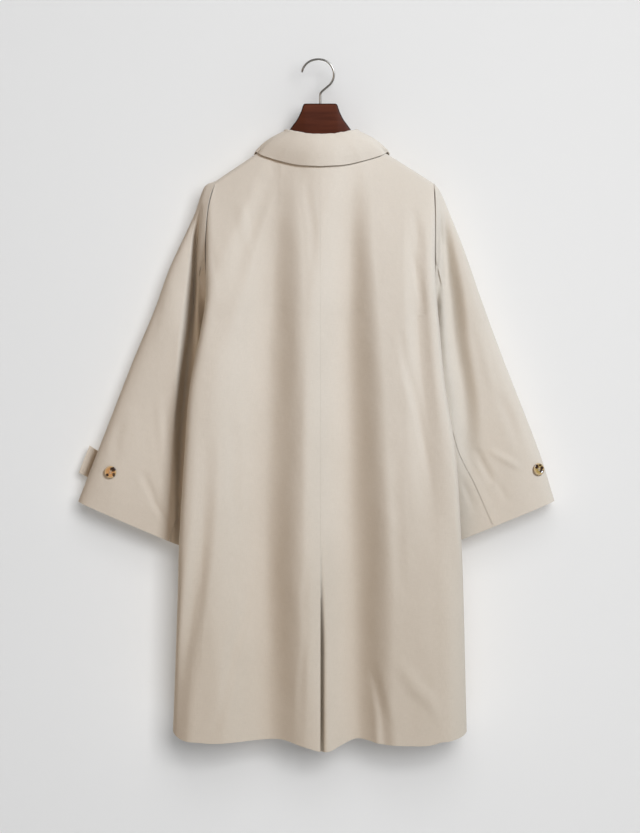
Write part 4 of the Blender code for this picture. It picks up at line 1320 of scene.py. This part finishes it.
def buttonMesh():
    mesh = bmesh.new()
    ring = [mesh.verts.new((row["out"], 0, row["z"])) for row in buttonRim]
    edges = [mesh.edges.new(pair) for pair in zip(ring, ring[1:])]
    about = {"cent": (0, 0, 0), "axis": (0, 0, 1), "angle": 2 * math.pi, "steps": button["segments"]}
    bmesh.ops.spin(mesh, geom=ring + edges, use_merge=True, **about)
    bmesh.ops.remove_doubles(mesh, verts=mesh.verts, dist=tiny)
    levels = (buttonRim[0]["z"], buttonRim[-1]["z"])
    openEdges = {z: openRing(mesh, z) for z in levels}
    holes = []
    for k in range(4):
        angle = math.pi / 4 + k * math.pi / 2
        at = Vector((math.cos(angle), math.sin(angle), 0)) * button["spread"]
        pair = []
        for z in levels:
            size = {"segments": button["holeSegments"], "radius": button["hole"]}
            made = bmesh.ops.create_circle(mesh, cap_ends=False, **size)
            bmesh.ops.translate(mesh, verts=made["verts"], vec=at + Vector((0, 0, z)))
            loop = list({e for v in made["verts"] for e in v.link_edges})
            openEdges[z] += loop
            pair += loop
        holes.append(pair)
    for z in levels:
        bmesh.ops.triangle_fill(mesh, edges=openEdges[z], use_beauty=True, use_dissolve=False)
    for pair in holes:
        bmesh.ops.bridge_loops(mesh, edges=pair)
    bmesh.ops.recalc_face_normals(mesh, faces=mesh.faces)
    return mesh


def makeButton(name, middle, facing, look, turned, threads):
    mesh = buttonMesh()
    lay = mesh.loops.layers.uv.new("disc")
    spin = Matrix.Rotation(math.radians(turned), 2)
    for face in mesh.faces:
        for loop in face.loops:
            loop[lay].uv = spin @ Vector(loop.vert.co.xy) / button["radius"]
    bmesh.ops.scale(mesh, vec=(button["swell"], button["swell"], 1), verts=mesh.verts)
    up = Vector((0, 0, 1))
    up = (up - facing * up.dot(facing)).normalized()
    settle = Matrix.Translation(middle) @ Matrix((up.cross(facing), up, facing)).transposed().to_4x4()
    bmesh.ops.transform(mesh, matrix=settle, verts=mesh.verts)
    settlePiece(addSmooth(name, mesh, tortoise[look], sharpAngle["hard"]))
    turn = settle.to_3x3()
    for edge in (-1, 1):  # two bars of thread over the holes
        for strand in (-bar["strand"], 0.0, bar["strand"]):
            out, level = edge * button["spread"] * bar["out"], buttonRim[0]["z"] + bar["lift"]
            at = settle @ Vector((strand, out, level)) + turn @ Vector((0, strand, 0))
            length = 2 * button["spread"] * bar["reach"]
            addStitch(threads, at, turn @ Vector((1, 0, 0)), facing, length, bar["width"])


def makeButtons():
    threads = bmesh.new()

    def sewOn(name, surface, at, back, wall, look, turned):
        facing = facingOf(surface, *at, back)
        middle = place(surface(*at)) + facing * (wall / 2 + button["gap"])
        makeButton(name, middle, facing, look, turned, threads)

    def front(u, v):
        return frontPoint(-1, u, v)

    looks = tuple(shell)
    for side in (1, -1):

        def cuff(s, angle):
            return sleevePoint(side, s, math.degrees(angle))

        def tab(share, along):
            return strapPoint(side, share, along)

        outer, inner = looks[::side]  # the other way round on the right
        at = (backButton[side]["s"], math.acos(backButton[side]["across"]))
        sewOn(sided("buttonBack", side), cuff, at, True, coat["wall"], outer, 0)
        at = (1 - button["strapInset"] / (tab(1, 0) - tab(0, 0)).length, 0)
        sewOn(sided("buttonStrap", side), tab, at, False, strap["wall"], inner, button["strapTurn"] * side)
    for number in range(frontButton["count"]):
        at = (frontButton["share"], frontShare(frontButton["topZ"] - number * frontButton["step"]))
        look, turned = looks[number % 2], button["frontTurn"] * number
        sewOn(f"buttonFront{number + 1}", front, at, False, coat["wall"], look, turned)
    obj = addSmooth("buttonThread", threads, cottonThread, sharpAngle["cloth"])
    settlePiece(obj, replaces=False)


# The hanger: a flat board of the neck's and arms' outline, and the wire hook.
wood = {
    "halfThick": 0.0085,
    "round": 0.0022,
    "steps": 4,
    "end": 0.1725,
    "stations": ((0, 0.0025, 70), (0.0245, 0.0007, 12)),  # from where, step and count
    "slice": 0.006,
    "slices": 28,
    "pale": (0.105, 0.026, 0.011),
    "deep": (0.062, 0.015, 0.007),
    "tones": (0.34, 0.66),
    # the colour of the board's rounded edges, darker than its faces
    "edge": (0.022, 0.007, 0.004),
    "grain": {"scale": 160, "detail": 5, "stretch": (0.10, 1, 1)},
    "grainShare": 0.6,
    "figure": {"scale": 26, "detail": 3, "stretch": (0.3, 1, 1)},
    "figureShare": 0.4,
    "rough": (0.34, 0.56),
    "bump": (0.3, 0.0002),
    "surface": {"Specular IOR Level": 0.14},
}
hangerNeck = table(
    "x top bottom half",
    (0.0000, -0.0700, -0.1500, 0.0085),
    (0.0250, -0.0701, -0.1500, 0.0085),
    (0.0276, -0.0710, -0.1502, 0.0085),
    (0.0292, -0.0733, -0.1505, 0.0085),
    (0.0328, -0.0840, -0.1510, 0.0083),
    (0.0390, -0.0965, -0.1520, 0.0081),
    (0.0460, -0.1062, -0.1545, 0.0077),
    (0.0520, -0.1150, -0.1580, 0.0067),
    (0.0600, -0.1310, -0.1610, 0.0055),
    (0.0660, -0.1360, -0.1650, 0.0050),
)
hangerArm = table(
    "x rest deep half",
    (0.0660, 0.0060, 0.029, 0.0050),
    (0.0750, 0.0050, 0.030, 0.0052),
    (0.0920, 0.00165, 0.031, 0.0064),
    (0.1200, 0.00165, 0.029, 0.0064),
    (0.1500, 0.00165, 0.027, 0.0064),
    (0.1610, 0.0025, 0.024, 0.0058),
    (0.1690, 0.0060, 0.017, 0.0042),
    (0.1725, 0.0110, 0.009, 0.0026),
)
wire = {
    "radius": 0.0019,
    "circle": 0.0253,
    "tip": 6.7,  # degrees
    "leave": 233.4,
    "openOut": 0.0035,
    "steps": 60,
    "openSteps": 24,  # of those, where it opens out toward its tip
    "tipSteps": 7,
    "tipLeast": 0.02,
    "bendSteps": 8,
    "bendZ": -0.0546,
    "bend": 0.004,
    "seat": 0.0003,
    "pale": (0.44, 0.43, 0.40),
    "deep": (0.27, 0.26, 0.245),
    "tones": (0.3, 0.7),
    "marks": {"scale": 420, "detail": 3, "stretch": (1, 1, 0.3)},
    "rough": (0.24, 0.40),
    "bump": (0.08, 0.0001),
    "surface": {"Metallic": 1.0},
}


def woodAt(x):
    side, out = (1 if x >= 0 else -1), abs(x)
    if out <= hangerNeck[-1]["x"]:
        return [read(hangerNeck, part, out, "x") for part in ("top", "bottom", "half")]
    top = topEdge(side, out, True)[0] - read(hangerArm, "rest", out, "x")
    return top, top - read(hangerArm, "deep", out, "x"), read(hangerArm, "half", out, "x")


def mahogany():
    made, tree, shader = newMaterial("stainedMahogany")
    where = objectSpace(tree)
    grain = addNoise(tree, where, **wood["grain"])
    figure = addMath(tree, "Math", "MULTIPLY", addNoise(tree, where, **wood["figure"]), wood["figureShare"])
    tone = addRamp(tree, addMath(tree, "Math", "MULTIPLY_ADD", grain, wood["grainShare"], figure), wood)
    edge = addNode(tree, "Attribute", attribute_name="edge").outputs["Fac"]
    rough, bump = spread(tree, grain, *wood["rough"]), addBump(tree, grain, *wood["bump"])
    setLook(tree, shader, mixColour(tree, edge, tone, wood["edge"]), rough, bump, wood["surface"])
    return made


def polishedSteel():
    made, tree, shader = newMaterial("polishedSteel")
    marks = addNoise(tree, objectSpace(tree), **wire["marks"])
    rough, bump = spread(tree, marks, *wire["rough"]), addBump(tree, marks, *wire["bump"])
    setLook(tree, shader, addRamp(tree, marks, wire), rough, bump, wire["surface"])
    return made


def boardStations():
    xs = {row["x"] for row in hangerNeck + hangerArm}
    for first, step, count in wood["stations"]:
        xs |= {round(first + k * step, 5) for k in range(count)}
    xs = sorted(x for x in xs if x <= wood["end"])
    return [-x for x in reversed(xs[1:])] + xs


def roundOff(mesh, face):
    sign = 1 if face.normal.y > 0 else -1
    rounded = []
    for k in range(wood["steps"]):
        angles = [math.pi / 2 * (k + j) / wood["steps"] for j in (0, 1)]
        inset = wood["round"] * (math.cos(angles[0]) - math.cos(angles[1]))
        rise = wood["round"] * (math.sin(angles[1]) - math.sin(angles[0])) * sign
        made = bmesh.ops.inset_region(mesh, faces=[face], thickness=inset, depth=rise, use_even_offset=True)
        rounded += made["faces"]
    return rounded


def makeWood():  # half the board is made and mirrored, then thinned toward its arms
    mesh, stations = bmesh.new(), boardStations()
    top, bottom = ([mesh.verts.new((x, 0, woodAt(x)[k])) for x in stations] for k in (0, 1))
    board = mesh.faces.new(top + bottom[::-1])
    moved = bmesh.ops.extrude_face_region(mesh, geom=[board])["geom"]
    depth = wood["halfThick"] - wood["round"]
    bmesh.ops.translate(mesh, verts=only(bmesh.types.BMVert, moved), vec=(0, depth, 0))
    face = only(bmesh.types.BMFace, moved)[0]
    rounded = roundOff(mesh, face)
    middle = [f for f in mesh.faces if all(abs(v.co.y) < tiny for v in f.verts)]
    bmesh.ops.delete(mesh, geom=middle, context="FACES_ONLY")
    # the rounded edges are coloured darker than the board's faces
    shade = mesh.verts.layers.float.new("edge")
    for vert in (v for f in rounded for v in f.verts):
        vert[shade] = 1.0
    for vert in face.verts:
        vert[shade] = 0.0
    for k in range(-wood["slices"], wood["slices"] + 1):
        at = (k * wood["slice"], 0, 0)
        bmesh.ops.bisect_plane(mesh, geom=wholeOf(mesh), plane_co=at, plane_no=(1, 0, 0))
    bmesh.ops.mirror(mesh, geom=wholeOf(mesh), axis="Y", merge_dist=tiny)
    bmesh.ops.remove_doubles(mesh, verts=mesh.verts, dist=tiny)
    for vert in mesh.verts:
        vert.co.y *= woodAt(vert.co.x)[2] / wood["halfThick"]
        vert.co = place(vert.co)
    bmesh.ops.recalc_face_normals(mesh, faces=mesh.faces)
    settlePiece(addSmooth("hangerWood", mesh, mahogany(), sharpAngle["hard"]))


def hookPath():  # places along the wire, each with its share of the radius
    middle = Vector((0, 0, wire["radius"] - wire["circle"]))
    path = []
    for k in range(wire["steps"] + 1):
        angle = math.radians(mix(wire["tip"], wire["leave"], k / wire["steps"]))
        circle = wire["circle"] + wire["openOut"] * ease(1 - k / wire["openSteps"])
        path.append((middle + Vector((math.cos(angle), 0, math.sin(angle))) * circle, 1))
    start, inward = path[0][0], (path[0][0] - path[1][0]).normalized()
    for k in range(1, wire["tipSteps"] + 1):  # the rounded end
        angle = math.pi / 2 * k / wire["tipSteps"]
        at = start + inward * wire["radius"] * (math.sin(angle) - 1)
        path.insert(0, (at, max(math.cos(angle), wire["tipLeast"])))
    bend = Vector((coat["plumbX"], 0, wire["bendZ"]))
    arrive, leave = (path[-1][0] - bend).normalized(), Vector((0, 0, -1))
    for k in range(wire["bendSteps"] + 1):
        share = k / wire["bendSteps"]
        path.append((bend + arrive * wire["bend"] * (1 - share) ** 2 + leave * wire["bend"] * share**2, 1))
    endZ = hangerNeck[0]["top"] + coat["datumZ"] + wire["seat"]
    return path + [(Vector((coat["plumbX"], 0, endZ)), 1)]


def makeHook():
    path = hookPath()
    curve = bpy.data.curves.new("hookLine", "CURVE")
    curve.dimensions = "3D"
    curve.bevel_depth = wire["radius"]
    curve.bevel_resolution = 5
    curve.use_fill_caps = True
    spline = curve.splines.new("POLY")
    spline.points.add(len(path) - 1)
    for point, (at, size) in zip(spline.points, path):
        point.co = (*at, 1)
        point.radius = size
    line = addObject("hookLine", curve)
    bpy.context.view_layer.update()
    data = bpy.data.meshes.new_from_object(line.evaluated_get(bpy.context.evaluated_depsgraph_get()))
    bpy.data.objects.remove(line)
    data.shade_smooth()
    settlePiece(addObject("hangerHook", data, polishedSteel()))


studio = {
    "camera": (-0.0017, 3.5, -0.6016),
    "lens": 89.5,
    "aim": (0, 0, -0.6),
    "wallY": -0.064,
    "wallSize": 5,
    "floorZ": -2.6,
    "floorSize": 6,
    "wallLook": {"Base Color": (0.83, 0.83, 0.83), "Roughness": 0.9, "Specular IOR Level": 0.1},
    "world": 0.085,
    "lights": table(
        "name on x y z size power colour wallShades",
        ("key", "coat", -2.4, 3.3, 1.8, 1.2, 201, (0.945, 1.0, 1.075), True),
        ("fill", "coat", 2.4, 3.4, 0.2, 3.0, 39, (1.0, 0.67, 0.39), True),
        ("front", "coat", 0.6, -3.3, -0.9, 1.6, 64, (1, 1, 1), False),
        ("wash", "stage", -0.9, 3.9, 0.2, 1.7, 89, (1, 1, 1), True),
        ("soft", "stage", -0.4, 3.9, 2.0, 3.0, 57, (1, 1, 1), True),
        ("low", "stage", 0.3, 3.9, -1.4, 1.8, 9, (1, 1, 1), True),
    ),
}
groups = {name: bpy.data.collections.new(name) for name in ("coat", "stage")}  # lit apart


def paleWall():  # clear from behind
    made, tree, shader = newMaterial("paleWall")
    feed(tree, shader, studio["wallLook"])
    behind = addNode(tree, "NewGeometry").outputs["Backfacing"]
    clear = addNode(tree, "BsdfTransparent").outputs["BSDF"]
    either = addNode(tree, "MixShader", {0: behind, 1: shader.outputs["BSDF"], 2: clear})
    feed(tree, tree.nodes["Material Output"], {"Surface": either.outputs["Shader"]})
    return made


def makeStage():
    made = paleWall()
    for name, size, turn, at in (
        ("floor", studio["floorSize"], 0, (0, 0, studio["floorZ"])),
        ("wall", studio["wallSize"], -math.pi / 2, (0, studio["wallY"], studio["aim"][2])),
    ):
        mesh = bmesh.new()
        bmesh.ops.create_grid(mesh, x_segments=1, y_segments=1, size=size)
        obj = addObject(name, meshFrom(name, mesh), made)
        obj.rotation_euler = (turn, 0, 0)
        obj.location = at
        groups["stage"].objects.link(obj)


def makeLight(spec):
    data = bpy.data.lights.new(spec["name"], "AREA")
    data.shape = "SQUARE"
    data.size = spec["size"]
    data.energy = spec["power"]
    data.color = spec["colour"]
    obj = addObject(spec["name"], data)
    obj.location = (spec["x"], spec["y"], spec["z"])
    toward = Vector(studio["aim"]) - obj.location
    obj.rotation_euler = toward.to_track_quat("-Z", "Y").to_euler()
    obj.light_linking.receiver_collection = groups[spec["on"]]
    if not spec["wallShades"]:
        obj.light_linking.blocker_collection = groups["coat"]


def makeStudio():
    makeStage()
    for spec in studio["lights"]:
        makeLight(spec)
    world = bpy.data.worlds.new("studio")
    world.use_nodes = True
    tree = world.node_tree
    feed(tree, tree.nodes["Background"], {"Color": (1, 1, 1), "Strength": studio["world"]})
    bpy.context.scene.world = world
    data = bpy.data.cameras.new("camera")
    data.lens = studio["lens"]
    camera = addObject("camera", data)
    camera.location = studio["camera"]
    camera.rotation_euler = (math.pi / 2, 0, math.pi)
    bpy.context.scene.camera = camera
    bpy.context.scene.view_settings.view_transform = "Standard"


makeStudio()
print("studio ready")
for side in (1, -1):
    makeBack(side)
print("back panels done")
for side in (1, -1):
    makeFront(side)
    makeSleeve(side)
    makeStrap(side)
print("fronts, sleeves and straps done")
makeCollar()
print("collar done")
makeButtons()
makeStitches()
print("buttons and stitches done")
makeWood()
makeHook()
print("hanger done")
